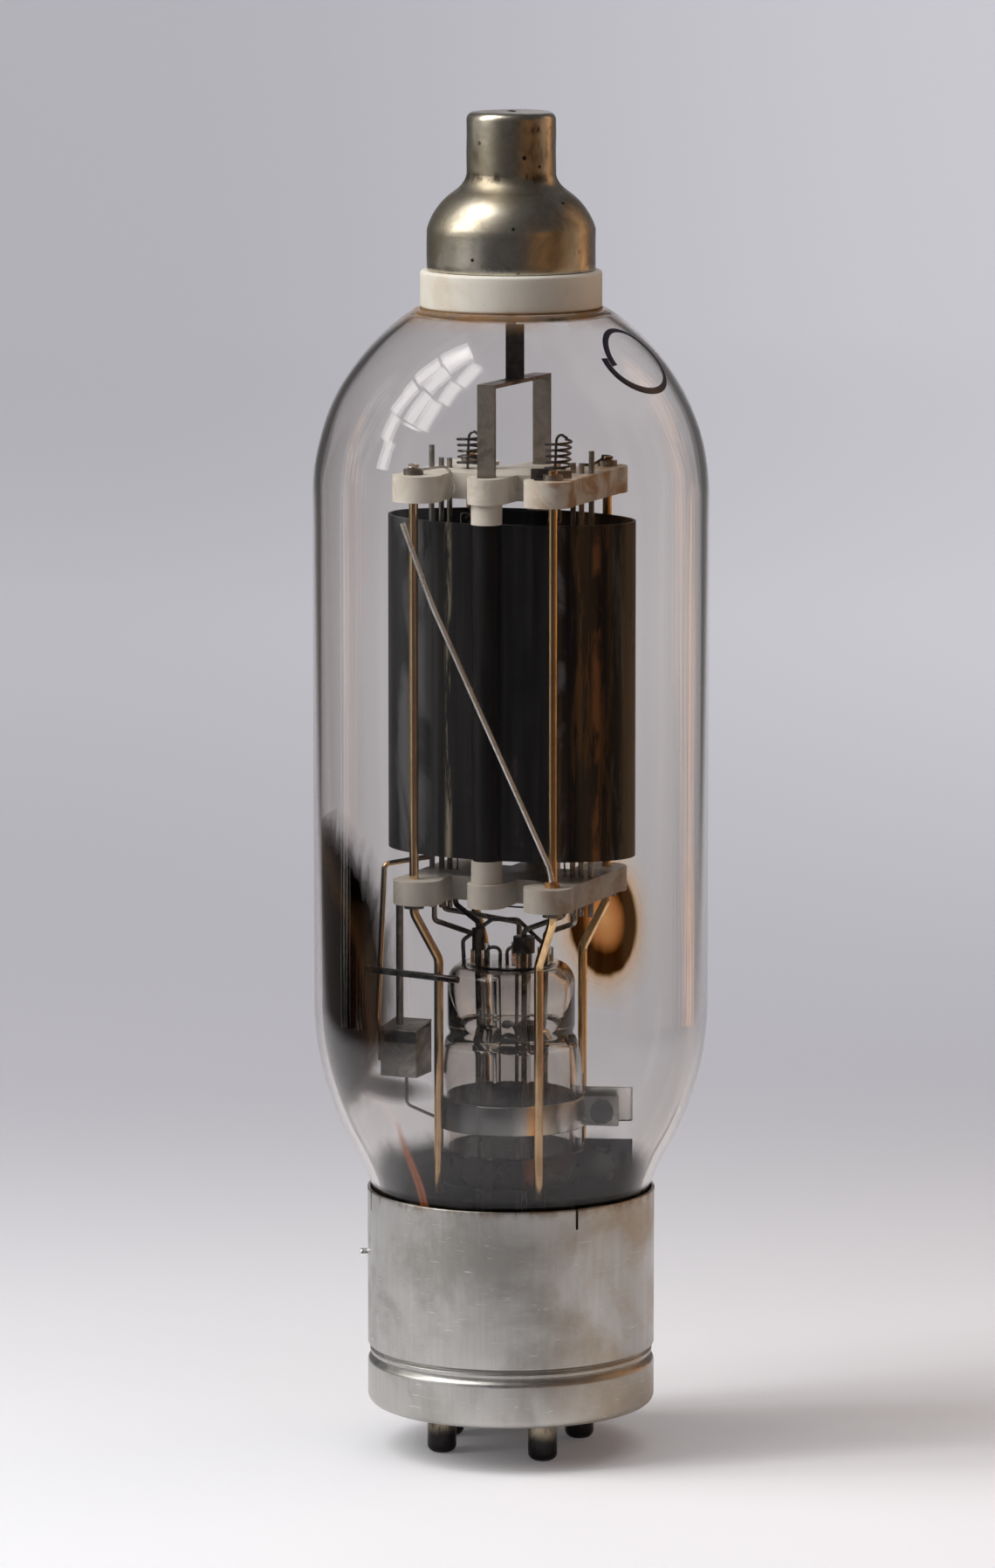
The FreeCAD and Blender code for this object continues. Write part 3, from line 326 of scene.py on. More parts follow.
class Shader:
    """A Principled material under construction, with nodes added one call at a time."""

    def __init__(self, name, **values):
        self.material = bpy.data.materials.new(name)
        self.material.use_nodes = True
        self.tree = self.material.node_tree
        self.surface = next(n for n in self.tree.nodes if n.type == "BSDF_PRINCIPLED")
        self.place = None
        self.set(**values)

    def set(self, **values):
        for name, value in values.items():
            feed(self.surface.inputs[name.replace("_", " ")], value)

    def add(self, kind, **inputs):
        node = self.tree.nodes.new(kind)
        for name, value in inputs.items():
            feed(node.inputs[name.replace("_", " ")], value)
        return node

    def where(self, stretch=(1, 1, 1)):
        """The object's own coordinates in metres, stretched."""
        if self.place is None:
            self.place = self.add("ShaderNodeTexCoord").outputs["Object"]
        if stretch == (1, 1, 1):
            return self.place
        return self.add("ShaderNodeMapping", Vector=self.place, Scale=stretch).outputs["Vector"]

    def axis(self, name):
        split = self.add("ShaderNodeSeparateXYZ", Vector=self.where())
        return Value(self, split.outputs[name])

    def noise(self, scale, detail=4, rough=0.55, stretch=(1, 1, 1), bend=0):
        """Noise whose features are about 1/scale metres across."""
        node = self.add("ShaderNodeTexNoise", Vector=self.where(stretch), Scale=scale, Detail=detail,
                        Roughness=rough, Distortion=bend)
        return Value(self, node.outputs["Fac"])

    def cells(self, scale):
        node = self.add("ShaderNodeTexVoronoi", Vector=self.where(), Scale=scale)
        return Value(self, node.outputs["Distance"])

    def mix(self, factor, first, second):
        node = self.tree.nodes.new("ShaderNodeMix")
        node.data_type = "RGBA"
        for index, value in ((0, factor), (6, first), (7, second)):
            feed(node.inputs[index], (*value, 1) if isinstance(value, tuple) else value)
        return Value(self, node.outputs[2])

    def maths(self, operation, first, second=0, clamp=False):
        node = self.tree.nodes.new("ShaderNodeMath")
        node.operation = operation
        node.use_clamp = clamp
        for socket, value in zip(node.inputs, (first, second, 0)):
            feed(socket, value)
        return Value(self, node.outputs[0])

    def bump(self, height, depth, strength):
        """Roughen the surface by a height, with a depth in millimetres."""
        node = self.add("ShaderNodeBump", Height=height, Distance=depth * MM, Strength=strength)
        self.set(Normal=node.outputs["Normal"])


# ---------------- materials

def glass_material(name, tint, roughness=0, streaks=0, absorption=150, index=1.47):
    """Clear glass. Light from the lamps passes straight through it, so it casts hardly any shadow."""
    shader = Shader(name, Base_Color=(*tint, 1), Roughness=roughness, IOR=index, Transmission_Weight=1)
    if streaks:
        shader.bump(shader.noise(60, 2, 0.4, stretch=(1, 1, 0.12)), streaks, 0.35)
    output = next(n for n in shader.tree.nodes if n.type == "OUTPUT_MATERIAL")
    clear = shader.add("ShaderNodeBsdfTransparent", Color=(0.93, 0.925, 0.915, 1))
    path = shader.add("ShaderNodeLightPath")
    blend = shader.add("ShaderNodeMixShader", Fac=path.outputs["Is Shadow Ray"])
    feed(blend.inputs[1], shader.surface.outputs[0])
    feed(blend.inputs[2], clear.outputs[0])
    feed(output.inputs["Surface"], blend.outputs[0])
    depth = shader.add("ShaderNodeVolumeAbsorption", Color=(0.62, 0.55, 0.50, 1), Density=absorption)
    feed(output.inputs["Volume"], depth.outputs[0])
    return shader.material


def base_nickel_material():
    """Satin nickel plate: fine upright brushing, drawing lines, dull stains and small bright scratches."""
    shader = Shader("base_nickel", Metallic=1)
    brushing = shader.noise(1500, 5, 0.6, stretch=(1, 1, 0.05))
    stains = shader.noise(55, 6, 0.62, bend=0.4)
    mottle = shader.noise(420, 4, 0.6, stretch=(1, 1, 0.4))
    scratches = shader.noise(200, 2, 0.9, stretch=(0.4, 0.4, 7), bend=2.5).ramp((0.66, 0), (0.70, 1))
    height = shader.axis("Z")
    # Painted light: foot marks the lower band, below the groove, which is lifted towards a paler grey for
    # the brighter reflection it shows.
    foot = height.span(0.0165, 0.0085)
    metal = shader.mix(stains.span(0.42, 0.68), (0.52, 0.51, 0.49), (0.35, 0.335, 0.31))
    metal = shader.mix(brushing.span(0.35, 0.75, 0, 0.16), metal, (0.24, 0.235, 0.23))
    metal = shader.mix(foot * 0.35, metal, (0.50, 0.48, 0.44))
    # Painted reflection: towards the right side the stain patches turn warm tan, for the warm room reflected
    # there.
    warm = shader.axis("X").span(2 * MM, 18 * MM, 0, 0.7) * stains.span(0.40, 0.62)
    metal = shader.mix(warm, metal, (0.46, 0.385, 0.29))
    soot = height.span(41.5 * MM, 43.6 * MM) * mottle.span(0.45, 0.6, 0, 0.6)
    metal = shader.mix(soot, metal, (0.20, 0.12, 0.06))
    metal = shader.mix(scratches * 0.5, metal, (0.85, 0.84, 0.82))
    rough = stains.span(0.35, 0.7, 0.32, 0.46) + mottle.span(0.3, 0.8, -0.04, 0.08)
    shader.set(Base_Color=metal, Roughness=rough)
    shader.bump(brushing + scratches * -0.5, 0.03, 0.5)
    return shader.material


def worn_metal(name, bright, dull, scale, roughness=(0.25, 0.5), grain=(1, 1, 1), bump=0.02, metallic=1):
    """Plated metal whose plating is bright in places and dull in others."""
    shader = Shader(name, Metallic=metallic)
    patches = shader.noise(scale, 6, 0.62, bend=0.6)
    fine = shader.noise(scale * 9, 4, 0.6, stretch=grain)
    colour = shader.mix(patches.span(0.40, 0.66), bright, dull)
    colour = shader.mix(fine.span(0.45, 0.8, 0, 0.35), colour, tuple(c * 0.55 for c in dull))
    shader.set(Base_Color=colour, Roughness=patches.span(0.35, 0.7, *roughness))
    shader.bump(patches + fine * 0.4, bump, 0.6)
    return shader.material


def pin_metal_material():
    """Tarnished brass pins, soldered black at the tips."""
    shader = Shader("pin_metal", Metallic=1)
    patches = shader.noise(320, 6, 0.62, stretch=(1, 1, 0.4), bend=0.6)
    edge = shader.axis("Z") + patches * (5 * MM)
    colour = shader.mix(patches.span(0.4, 0.66), (0.30, 0.25, 0.18), (0.07, 0.06, 0.05))
    colour = shader.mix(edge.span(7.6 * MM, 5.4 * MM), colour, (0.028, 0.026, 0.026))
    shader.set(Base_Color=colour, Roughness=patches.span(0.35, 0.7, 0.22, 0.5))
    shader.bump(patches, 0.06, 0.7)
    return shader.material


def steel_painted_across(name, roughness, *stops):
    """Sheet steel whose colour changes from its left to its right, in painted shade and a painted orange
    reflection.
    """
    shader = Shader(name, Metallic=1)
    patches = shader.noise(90, 5, 0.6, bend=0.5)
    # Painted light: the colour runs across the sheet from left to right, through painted shade and a painted
    # orange reflection.
    across = shader.axis("X") + patches * (5 * MM)
    shader.set(Base_Color=across.span(-12 * MM, 20 * MM).ramp(*stops),
               Roughness=patches.span(0.35, 0.7, *roughness))
    shader.bump(patches, 0.02, 0.6)
    return shader.material


def cap_metal_material():
    """Tarnished nickel plate of the cap: warm patches, pits, and rusty dirt at the rim and the foot."""
    shader = Shader("cap_metal", Metallic=1)
    patches = shader.noise(75, 6, 0.62, bend=0.6)
    fine = shader.noise(600, 4, 0.6)
    colour = shader.mix(patches.span(0.40, 0.66), (0.56, 0.52, 0.44), (0.30, 0.26, 0.19))
    colour = shader.mix(fine.span(0.45, 0.8, 0, 0.3), colour, (0.16, 0.14, 0.10))
    runs = shader.noise(260, 4, 0.7, stretch=(1, 1, 0.22))
    height = shader.axis("Z")
    for low, high, peak in ((214.6, 217.6, 1), (206.8, 209.6, 0.8), (191, 192.6, 0.9), (209, 216, 0.45)):
        middle = (low + high) / 2
        line = height.span(low * MM, middle * MM) * height.span(high * MM, middle * MM)
        colour = shader.mix(line * runs.span(0.50, 0.60, 0, peak), colour, (0.030, 0.018, 0.012))
    spots = shader.cells(330).ramp((0.09, 1), (0.15, 0)) * shader.noise(100, 3).span(0.48, 0.58)
    colour = shader.mix(spots, colour, (0.02, 0.016, 0.014))
    shader.set(Base_Color=colour, Roughness=patches.span(0.35, 0.7, 0.27, 0.42))
    shader.bump(patches + fine * 0.4, 0.02, 0.6)
    return shader.material


def ceramic_material(name, clean, stain, amount, scale, side_brown_and_low_shade=0):
    """Unglazed ceramic: warm stains, a fine grain and slightly dirty pores."""
    shader = Shader(name, Specular_IOR_Level=0.35)
    stains = shader.noise(scale, 5, 0.6, bend=0.8)
    pores = shader.cells(scale * 14).ramp((0.05, 1), (0.16, 0))
    colour = shader.mix(stains.span(0.45, 0.75, 0, amount), clean, stain)
    colour = shader.mix(pores * 0.25, colour, tuple(c * 0.4 for c in stain))
    # The ceramic turns browner in patches towards its right side.
    right_side_brown = (shader.axis("X").span(0, 9 * MM, 0, side_brown_and_low_shade)
             * shader.noise(scale * 1.1, 4, 0.6, bend=0.5).span(0.40, 0.58))
    colour = shader.mix(right_side_brown, colour, (0.36, 0.21, 0.10))
    # Painted shade: such a piece darkens from 135 mm down to 100 mm, towards 0.42 of its clean colour, so
    # the lower spider sits in shade.
    if side_brown_and_low_shade:
        grey = shader.axis("Z").span(135 * MM, 100 * MM, 0, 0.6)
        colour = shader.mix(grey, colour, tuple(c * 0.42 for c in clean))
    shader.set(Base_Color=colour, Roughness=stains.span(0.3, 0.8, 0.42, 0.6))
    shader.bump(shader.noise(scale * 20, 3), 0.02, 0.5)
    return shader.material


def carbon_sheet_material():
    """Carbonised nickel: near black with a faint satin sheen, upright streaks and scuffs."""
    shader = Shader("anode_sheet", Specular_IOR_Level=0.22)
    streaks = shader.noise(700, 4, 0.6, stretch=(1, 1, 0.03))
    cloud = shader.noise(120, 5, 0.6, stretch=(1, 1, 0.35), bend=0.5)
    scuff = shader.noise(300, 4, 0.7, stretch=(1, 1, 0.25), bend=1.5).ramp((0.66, 0), (0.72, 1))
    colour = shader.mix(streaks.span(0.35, 0.75), (0.003, 0.003, 0.004), (0.013, 0.012, 0.013))
    colour = shader.mix(cloud.span(0.5, 0.75, 0, 0.4), colour, (0.014, 0.012, 0.013))
    colour = shader.mix(scuff * 0.15, colour, (0.12, 0.11, 0.09))
    # Painted reflections: on the front of the sheet, upright bands of bluish grey, pale tan, brown, orange
    # and grey stand for the room reflected in it.
    front = shader.axis("Y").span(2 * MM, -2 * MM)
    across = shader.axis("X")
    broad = shader.noise(420, 5, 0.75, stretch=(1, 1, 0.09))
    patchy = shader.noise(150, 4, 0.6, stretch=(1, 1, 0.45), bend=0.4)
    edge = 0.8
    for low, high, reflection_tone, strength, source in (
            (-21, -12.5, (0.075, 0.076, 0.085), 0.75, cloud), (-10.9, -9.3, (0.30, 0.27, 0.20), 0.6, broad),
            (5.6, 9, (0.085, 0.090, 0.105), 0.9, patchy), (9.2, 16.2, (0.070, 0.033, 0.012), 0.95, broad),
            (12.6, 14.6, (0.24, 0.09, 0.03), 0.6, patchy), (15.6, 18.4, (0.055, 0.055, 0.058), 0.9, broad)):
        band = across.span(low * MM, (low + edge) * MM) * across.span(high * MM, (high - edge) * MM)
        colour = shader.mix(band * front * source.span(0.45, 0.57, 0, strength), colour, reflection_tone)
    shader.set(Base_Color=colour, Roughness=cloud.span(0.3, 0.75, 0.34, 0.5))
    shader.bump(streaks, 0.01, 0.4)
    return shader.material


def matt_material(name, colour, other, scale, roughness=0.8, bump=0.15, gloss=0.3):
    """Cement, phenolic and ink: a plain rough surface in two shades."""
    shader = Shader(name, Specular_IOR_Level=gloss)
    lumps = shader.noise(scale, 6, 0.65, bend=0.3)
    shader.set(Base_Color=shader.mix(lumps.span(0.35, 0.7), colour, other),
               Roughness=lumps.span(0.3, 0.7, roughness, min(1, roughness + 0.15)))
    shader.bump(lumps, bump, 0.8)
    return shader.material


# A name, the bright and dull colours, the patches' scale, and then roughness, grain, bump and metallic.
WORN_METALS = (
    # The nickel rods' golden colours partly paint the warm reflection they show.
    ("nickel_rod", (0.95, 0.67, 0.37), (0.60, 0.38, 0.18), 70, (0.10, 0.22), (1, 1, 0.08), 0.01),
    ("nickel_wire", (0.46, 0.42, 0.37), (0.16, 0.14, 0.12), 130, (0.15, 0.34), (1, 1, 0.2)),
    ("dark_wire", (0.15, 0.14, 0.13), (0.03, 0.028, 0.026), 200, (0.25, 0.4)),
    ("nickel_strip", (0.30, 0.265, 0.23), (0.12, 0.10, 0.085), 150, (0.32, 0.55)),
    ("dark_strip", (0.10, 0.085, 0.075), (0.025, 0.022, 0.022), 260, (0.35, 0.6)),
    ("grid_wire", (0.40, 0.38, 0.36), (0.18, 0.17, 0.16), 200),
    ("filament_wire", (0.34, 0.33, 0.31), (0.12, 0.11, 0.11), 300),
    ("spring_wire", (0.11, 0.10, 0.10), (0.03, 0.028, 0.028), 300),
    ("getter_sheet", (0.52, 0.49, 0.45), (0.26, 0.235, 0.21), 140, (0.45, 0.6)),
    ("copper_collar", (0.85, 0.52, 0.24), (0.40, 0.20, 0.08), 400),
    ("screw_steel", (0.10, 0.10, 0.105), (0.03, 0.03, 0.03), 260, (0.12, 0.25)),
    # Painted highlight: a lighter, partly diffuse copy of the nickel wire, whose pieces look bright as if
    # catching the lights.
    ("bright_wire", (0.95, 0.94, 0.92), (0.66, 0.64, 0.60), 160, (0.16, 0.30), (1, 1, 1), 0.02, 0.85))
# A name, the two colours, the lumps' scale, and then roughness, bump and gloss.
MATT_SURFACES = (
    ("dark_cement", (0.010, 0.007, 0.005), (0.045, 0.024, 0.012), 500, 0.45, 0.25, 0.5),
    ("brown_cement", (0.24, 0.13, 0.06), (0.40, 0.25, 0.13), 500),
    ("base_ceramic", (0.030, 0.018, 0.012), (0.055, 0.036, 0.024), 260, 0.35, 0.03, 0.5),
    ("marker_ink", (0.008, 0.008, 0.018), (0.016, 0.015, 0.03), 900, 0.3, 0.01, 0.5))
# A name, the clean and stained colours, the amount of stain and its scale, and then how far it browns
# towards its right side, which also turns on painted shade low down.
CERAMICS = (
    ("cap_ceramic", (0.83, 0.80, 0.72), (0.62, 0.47, 0.30), 0.45, 70),
    ("spider_ceramic", (0.64, 0.61, 0.56), (0.36, 0.31, 0.25), 0.7, 130, 0.9))
# A name, the lowest and highest roughness, and colours from the left to the right, which paint shade and an
# orange reflection.
PAINTED_LIGHT_STEELS = (
    ("clamp_steel", (0.22, 0.36), (0, (0.05, 0.05, 0.052)), (0.42, (0.26, 0.26, 0.265)),
     (0.54, (0.55, 0.52, 0.49)), (0.61, (0.95, 0.56, 0.22)), (0.68, (0.60, 0.50, 0.38)),
     (0.77, (0.16, 0.15, 0.14)), (0.81, (0.50, 0.48, 0.46)), (1, (0.56, 0.55, 0.54))),
    # The lower band's darker steel, with a painted orange reflection across it.
    ("burnt_steel", (0.2, 0.4), (0, (0.02, 0.018, 0.018)), (0.50, (0.03, 0.028, 0.032)),
     (0.56, (0.14, 0.05, 0.02)), (0.63, (0.34, 0.12, 0.035)), (0.68, (0.05, 0.03, 0.025)),
     (1, (0.03, 0.032, 0.045))))


def make_materials():
    MATERIALS["bulb_glass"] = glass_material("bulb_glass", (0.985, 0.98, 0.97), index=1.33)
    MATERIALS["stem_glass"] = glass_material("stem_glass", (0.97, 0.965, 0.95), 0, 0.12, 330)
    MATERIALS["bead_glass"] = glass_material("bead_glass", (0.80, 0.76, 0.70), 0.05)
    MATERIALS["base_nickel"] = base_nickel_material()
    MATERIALS["pin_metal"] = pin_metal_material()
    MATERIALS["cap_metal"] = cap_metal_material()
    MATERIALS["anode_sheet"] = carbon_sheet_material()
    for make, table in ((worn_metal, WORN_METALS), (matt_material, MATT_SURFACES),
                        (ceramic_material, CERAMICS), (steel_painted_across, PAINTED_LIGHT_STEELS)):
        for name, *values in table:
            MATERIALS[name] = make(name, *values)


# ---------------- camera, light and room

def make_camera():
    """The tube from its front, a little above the middle, on a long lens."""
    camera = put_in_scene("camera", bpy.data.cameras.new("camera"))
    camera.location = (-0.0022, -1.2555, 0.2927)
    camera.rotation_euler = (radians(90 - 8.30), 0, 0)
    camera.data.lens = 179.5
    camera.data.sensor_width = 36
    camera.data.clip_start = 0.05
    camera.data.clip_end = 20
    bpy.context.scene.camera = camera
    bpy.context.scene.view_settings.view_transform = "Standard"


def area_light(name, place, target, wide, high, watts, colour):
    lamp = bpy.data.lights.new(name, "AREA")
    lamp.shape = "RECTANGLE"
    lamp.size, lamp.size_y = wide, high
    lamp.energy = watts
    lamp.color = colour
    light = put_in_scene(name, lamp)
    light.location = place
    light.rotation_euler = (Vector(target) - light.location).to_track_quat("-Z", "Y").to_euler()
    return light


# A wall's name, its first and last azimuth, its height, and its bands of colour.
WALLS = (
    ("warm_wall", 25, 80, 0.36, (0.36, (0.01, 0.008, 0.006)), (0.48, (0.16, 0.08, 0.035)),
     (0.58, (0.62, 0.34, 0.15)), (0.75, (0.95, 0.70, 0.44))),
    ("tan_wall", 82, 105, 0.36, (0.3, (0.16, 0.12, 0.10)), (0.5, (0.50, 0.40, 0.32)),
     (0.7, (0.95, 0.62, 0.36))),
    ("left_strips", -114, -92, 0.44, (0.50, (0, 0, 0)), (0.56, (1.9, 1.85, 1.8)),
     (0.60, (0.2, 0.2, 0.2)), (0.70, (3, 2.9, 2.8))),
    ("right_strips", 106, 132, 0.44, (0.46, (0, 0, 0)), (0.52, (2.2, 1.2, 0.6)),
     (0.60, (0.3, 0.2, 0.1)), (0.66, (2.6, 1.9, 1.4))),
    ("pale_wall", -76, -42, 0.36, (0.3, (0.10, 0.10, 0.11)), (0.5, (0.50, 0.50, 0.52)),
     (0.65, (0.95, 0.94, 0.93))))


def make_lights():
    """A paned window at the upper left, glowing walls at both sides and a dim room."""
    centre = Vector((0, 0, 0.12))
    way = Vector((-0.66, -0.16, 0.74)).normalized()
    window = centre + way * 1.1
    side = way.cross(Vector((0, 0, 1))).normalized()
    rise = side.cross(way).normalized()
    pane_wide, pane_high, bar = 0.15, 0.24, 0.02
    for column in (-1, 0, 1):
        for row in (-2.5, -1.5, -0.5, 0.5, 1.5):
            skew = 0.05 * sin(column * 2 + row)
            place = window + side * (column * (pane_wide + bar) + skew) + rise * row * (pane_high + bar)
            area_light("pane_{:.0f}_{:.0f}".format(column, row * 2), place, centre, pane_wide, pane_high,
                       PANE_WATTS, (1, 0.975, 0.94))
    halo = area_light("window_glow", centre + way * 1.15, centre, 0.8, 1.2, 2.6, (1, 0.97, 0.93))
    halo.visible_diffuse = False
    halo.visible_transmission = False
    soft = area_light("soft_ceiling", (0.35, -0.1, 1.7), centre, 1.5, 1.5, 7, (0.97, 0.98, 1))
    soft.visible_glossy = False
    soft.visible_transmission = False
    for wall in WALLS:
        glowing_wall(*wall)
    world = bpy.data.worlds.new("room")
    bpy.context.scene.world = world
    world.use_nodes = True
    world.node_tree.nodes["Background"].inputs["Color"].default_value = (0.62, 0.64, 0.72, 1)
    world.node_tree.nodes["Background"].inputs["Strength"].default_value = 0.13


def stage_mesh(name, points, faces):
    """A mesh of the room, in metres."""
    mesh = bpy.data.meshes.new(name)
    mesh.from_pydata(points, [], faces)
    return mesh


def glowing_wall(name, start, end, high, *stops):
    """A wall in soft upright bands. It shows in reflections only, not straight through the glass."""
    steps = 24
    points = []
    for step in range(steps + 1):
        foot = at_azimuth(WALL_REACH, start + (end - start) * step / steps, 0.001)
        points += [foot, foot + Vector((0, 0, high))]
    mesh = stage_mesh(name, points, [(2 * i, 2 * i + 2, 2 * i + 3, 2 * i + 1) for i in range(steps)])
    wall = put_in_scene(name, mesh)
    shader = Shader(name, Base_Color=(0, 0, 0, 1), Specular_IOR_Level=0, Emission_Strength=0.8)
    bands = shader.noise(24, 5, 0.65, stretch=(1, 1, 0.16), bend=0.3)
    path = shader.add("ShaderNodeLightPath")
    mirrored = shader.maths("SUBTRACT", path.outputs["Ray Depth"], path.outputs["Transmission Depth"],
                            clamp=True)
    shader.set(Emission_Color=bands.ramp(*stops), Alpha=mirrored)
    mesh.materials.append(shader.material)
    wall.visible_camera = False
    wall.visible_shadow = False


def make_stage():
    """A pale paper sweep: a floor that curves up into a far wall, with painted shade that darkens it away
    from the tube and a painted glow.
    """
    wall, turn, width = 2.4, 0.3, 2.4
    profile = [(-2.4, 0), (wall - turn, 0)]
    for step in range(1, 25):
        angle = pi / 2 * step / 24
        profile.append((wall - turn + turn * sin(angle), turn - turn * cos(angle)))
    profile.append((wall, 2.4))
    points = [(x, y, z) for y, z in profile for x in (-width, width)]
    mesh = stage_mesh("sweep", points, strips(len(profile), 2, closed=False))
    mesh.shade_smooth()
    sweep = put_in_scene("sweep", mesh)
    shader = Shader("paper", Roughness=0.9, Specular_IOR_Level=0)
    away, across = shader.axis("Y"), shader.axis("X")
    beside = shader.maths("ABSOLUTE", across) - shader.maths("MAXIMUM", away) * 0.12
    # Painted shade: the paper greys towards the far wall and goes near black at the sides and in front, with
    # a mid grey strip just in front, so dark room shows in reflections.
    paper = shader.mix(away.span(-0.02, 0.34), (0.90, 0.91, 0.95), (0.58, 0.58, 0.63))
    paper = shader.mix(beside.span(0.20, 0.30), paper, (0.10, 0.09, 0.085))
    paper = shader.mix(away.span(-0.09, -0.14), paper, (0.50, 0.50, 0.52))
    paper = shader.mix(away.span(-0.30, -0.42), paper, (0.05, 0.05, 0.055))
    # Painted light: the paper glows, more towards the far wall and the right and a little just in front,
    # which lifts the tube's shadow.
    glow = away.span(0.25, 1.2, 0.03, 0.29) + away.span(0.05, 0.7) * across.span(-0.15, 0.25, 0, 0.13)
    front_glow = away.span(0.08, -0.09) * away.span(-0.16, -0.11)
    glow = (glow + front_glow * 0.09) * beside.span(0.20, 0.34, 1, 0.25)
    shader.set(Base_Color=paper, Emission_Color=(0.97, 0.955, 1, 1), Emission_Strength=glow)
    mesh.materials.append(shader.material)


# ---------------- glass

GLASS_WALL = 1.2
CLEARANCE, FILM_GAP = 0.02, 0.03
FLARE_DEGREES = 30
FLARE_IN, FLARE_OUT = 30, 49.5
NECK_RADIUS, NECK_HIGH = 21.4, 34.76
DOME_START, DOME_ROUND, DOME_FLAT = 157, 35.2, 186.9
SEAL_RADIUS = 4.6


def bulb_side(inset=0):
    """The bulb's outline from its neck to the flat under the cap, as (radius, height), inset by a wall."""
    radius = round_radius("glass_bulb")
    flare = sin(radians(FLARE_DEGREES))
    low = heights("glass_bulb")[0]
    side = [(NECK_RADIUS - inset, low), (NECK_RADIUS - inset, (low + NECK_HIGH) / 2)]
    side += arc(NECK_RADIUS + FLARE_IN, NECK_HIGH, FLARE_IN + inset, 180, 180 - FLARE_DEGREES, 14)
    shoulder = NECK_HIGH + FLARE_IN * flare + FLARE_OUT * flare
    side += arc(radius - FLARE_OUT, shoulder, FLARE_OUT - inset, -FLARE_DEGREES, 0, 24)[1:]
    for step in range(1, 16):
        side.append((radius - inset, shoulder + (DOME_START - shoulder) * step / 16))
    rise = DOME_FLAT - inset - DOME_START
    end = degrees(asin(rise / (DOME_ROUND - inset)))
    return side + arc(radius - DOME_ROUND, DOME_START, DOME_ROUND - inset, 0, end, 36)


def make_bulb():
    """The blown bulb, a little uneven in wall and roundness as blown glass is."""
    top = heights("glass_bulb")[1]
    rod = round_radius("anode_seal_rod") + CLEARANCE
    fillet, round_top = 1.8, 2
    seal = arc(SEAL_RADIUS + fillet, DOME_FLAT + fillet, fillet, 270, 180, 6)
    crown = arc(SEAL_RADIUS - round_top, top - round_top, round_top, 0, 90, 6)
    bore = [(rod, top), (rod, DOME_FLAT - GLASS_WALL)]
    profile = bulb_side() + seal + crown + bore + list(reversed(bulb_side(GLASS_WALL)))

    def uneven(angle, z):
        swell = 1 + 0.0008 * sin(2 * angle + 0.7) + 0.0006 * sin(3 * angle + z * 0.05)
        ripple = min(1, max(0, (z - 140) / 20)) * min(1, max(0, (186 - z) / 10))
        return swell + 0.0016 * ripple * sin(7 * angle + 0.21 * z) * sin(0.3 * z + 2 * angle)

    add_object("bulb_glass_shape", lathe("bulb", profile, 256, swell=uneven), "bulb_glass", "glass_bulb")


def make_stem():
    """The stem with its bell mouth, the ledge where the exhaust tube joins, and its flat top."""
    low, top = heights("stem_glass")
    radius, neck, wall = 11.6, 10.4, 1
    foot = round_radius("stem_glass")
    shoulder, collar, bell = 62, 68, 42
    round_top = 3.4
    outside = [(foot, low)]
    outside += [(radius + (foot - radius) * (1 - t) ** 2.2, low + (bell - low) * t)
                for t in (0.15, 0.3, 0.45, 0.6, 0.75, 0.9, 1)]
    outside += [(radius, z) for z in (46, 50, 54, 58, shoulder)]
    outside += [(radius - t * t, shoulder + (collar - shoulder) * t) for t in (0.3, 0.5, 0.7, 0.85, 1)]
    outside += [(neck - 0.25, collar + 0.5), (neck - 0.3, collar + 1), (neck, collar + 2.2)]
    outside += arc(neck - round_top, top - round_top, round_top, 0, 90, 10)
    outside.append((0, top))
    inside = [(r - wall, z) for r, z in outside if z < collar]
    inside += [(neck - wall - 1.3, collar + 0.2), (neck - wall - 1.2, collar + 1.6),
               (neck - wall, collar + 3)]
    inside += arc(neck - round_top, top - round_top, round_top - wall, 0, 90, 10)
    inside.append((0, top - wall))
    mesh = lathe("stem", outside + list(reversed(inside)), 160)
    add_object("stem_glass_shape", mesh, "stem_glass", "stem_glass", crease=60)
    make_stem_lumps(collar)
    make_lead_links(top)


def blob(points, faces, centre, size, seed, rings=14, segments=20):
    """Add one uneven glass lump to a list of points and faces."""
    faces += strips(rings + 1, segments, first=len(points))
    for ring in range(rings + 1):
        tilt = pi * ring / rings
        for step in range(segments):
            turn = 2 * pi * step / segments
            wobble = 1 + 0.09 * sin(3 * turn + seed) * sin(2 * tilt + seed * 0.7)
            points.append((centre[0] + size[0] * wobble * sin(tilt) * cos(turn),
                           centre[1] + size[1] * wobble * sin(tilt) * sin(turn),
                           centre[2] + size[2] * wobble * cos(tilt)))


def make_stem_lumps(collar):
    """Melted lumps of glass in the stem's waist, round the exhaust tube's joint."""
    points, faces = [], []
    for number in range(9):
        angle = -75 + number * 34
        reach = 4.2 + 1.6 * sin(number * 2.1)
        place = at_azimuth(reach, angle, collar - 0.6 + 0.9 * sin(number * 1.7))
        size = 1.5 + 0.45 * sin(number * 1.3 + 1)
        blob(points, faces, place, (size * 1.15, size, size * 0.8), number)
    add_object("stem_lumps", make_mesh("lumps", points, faces), "stem_glass")


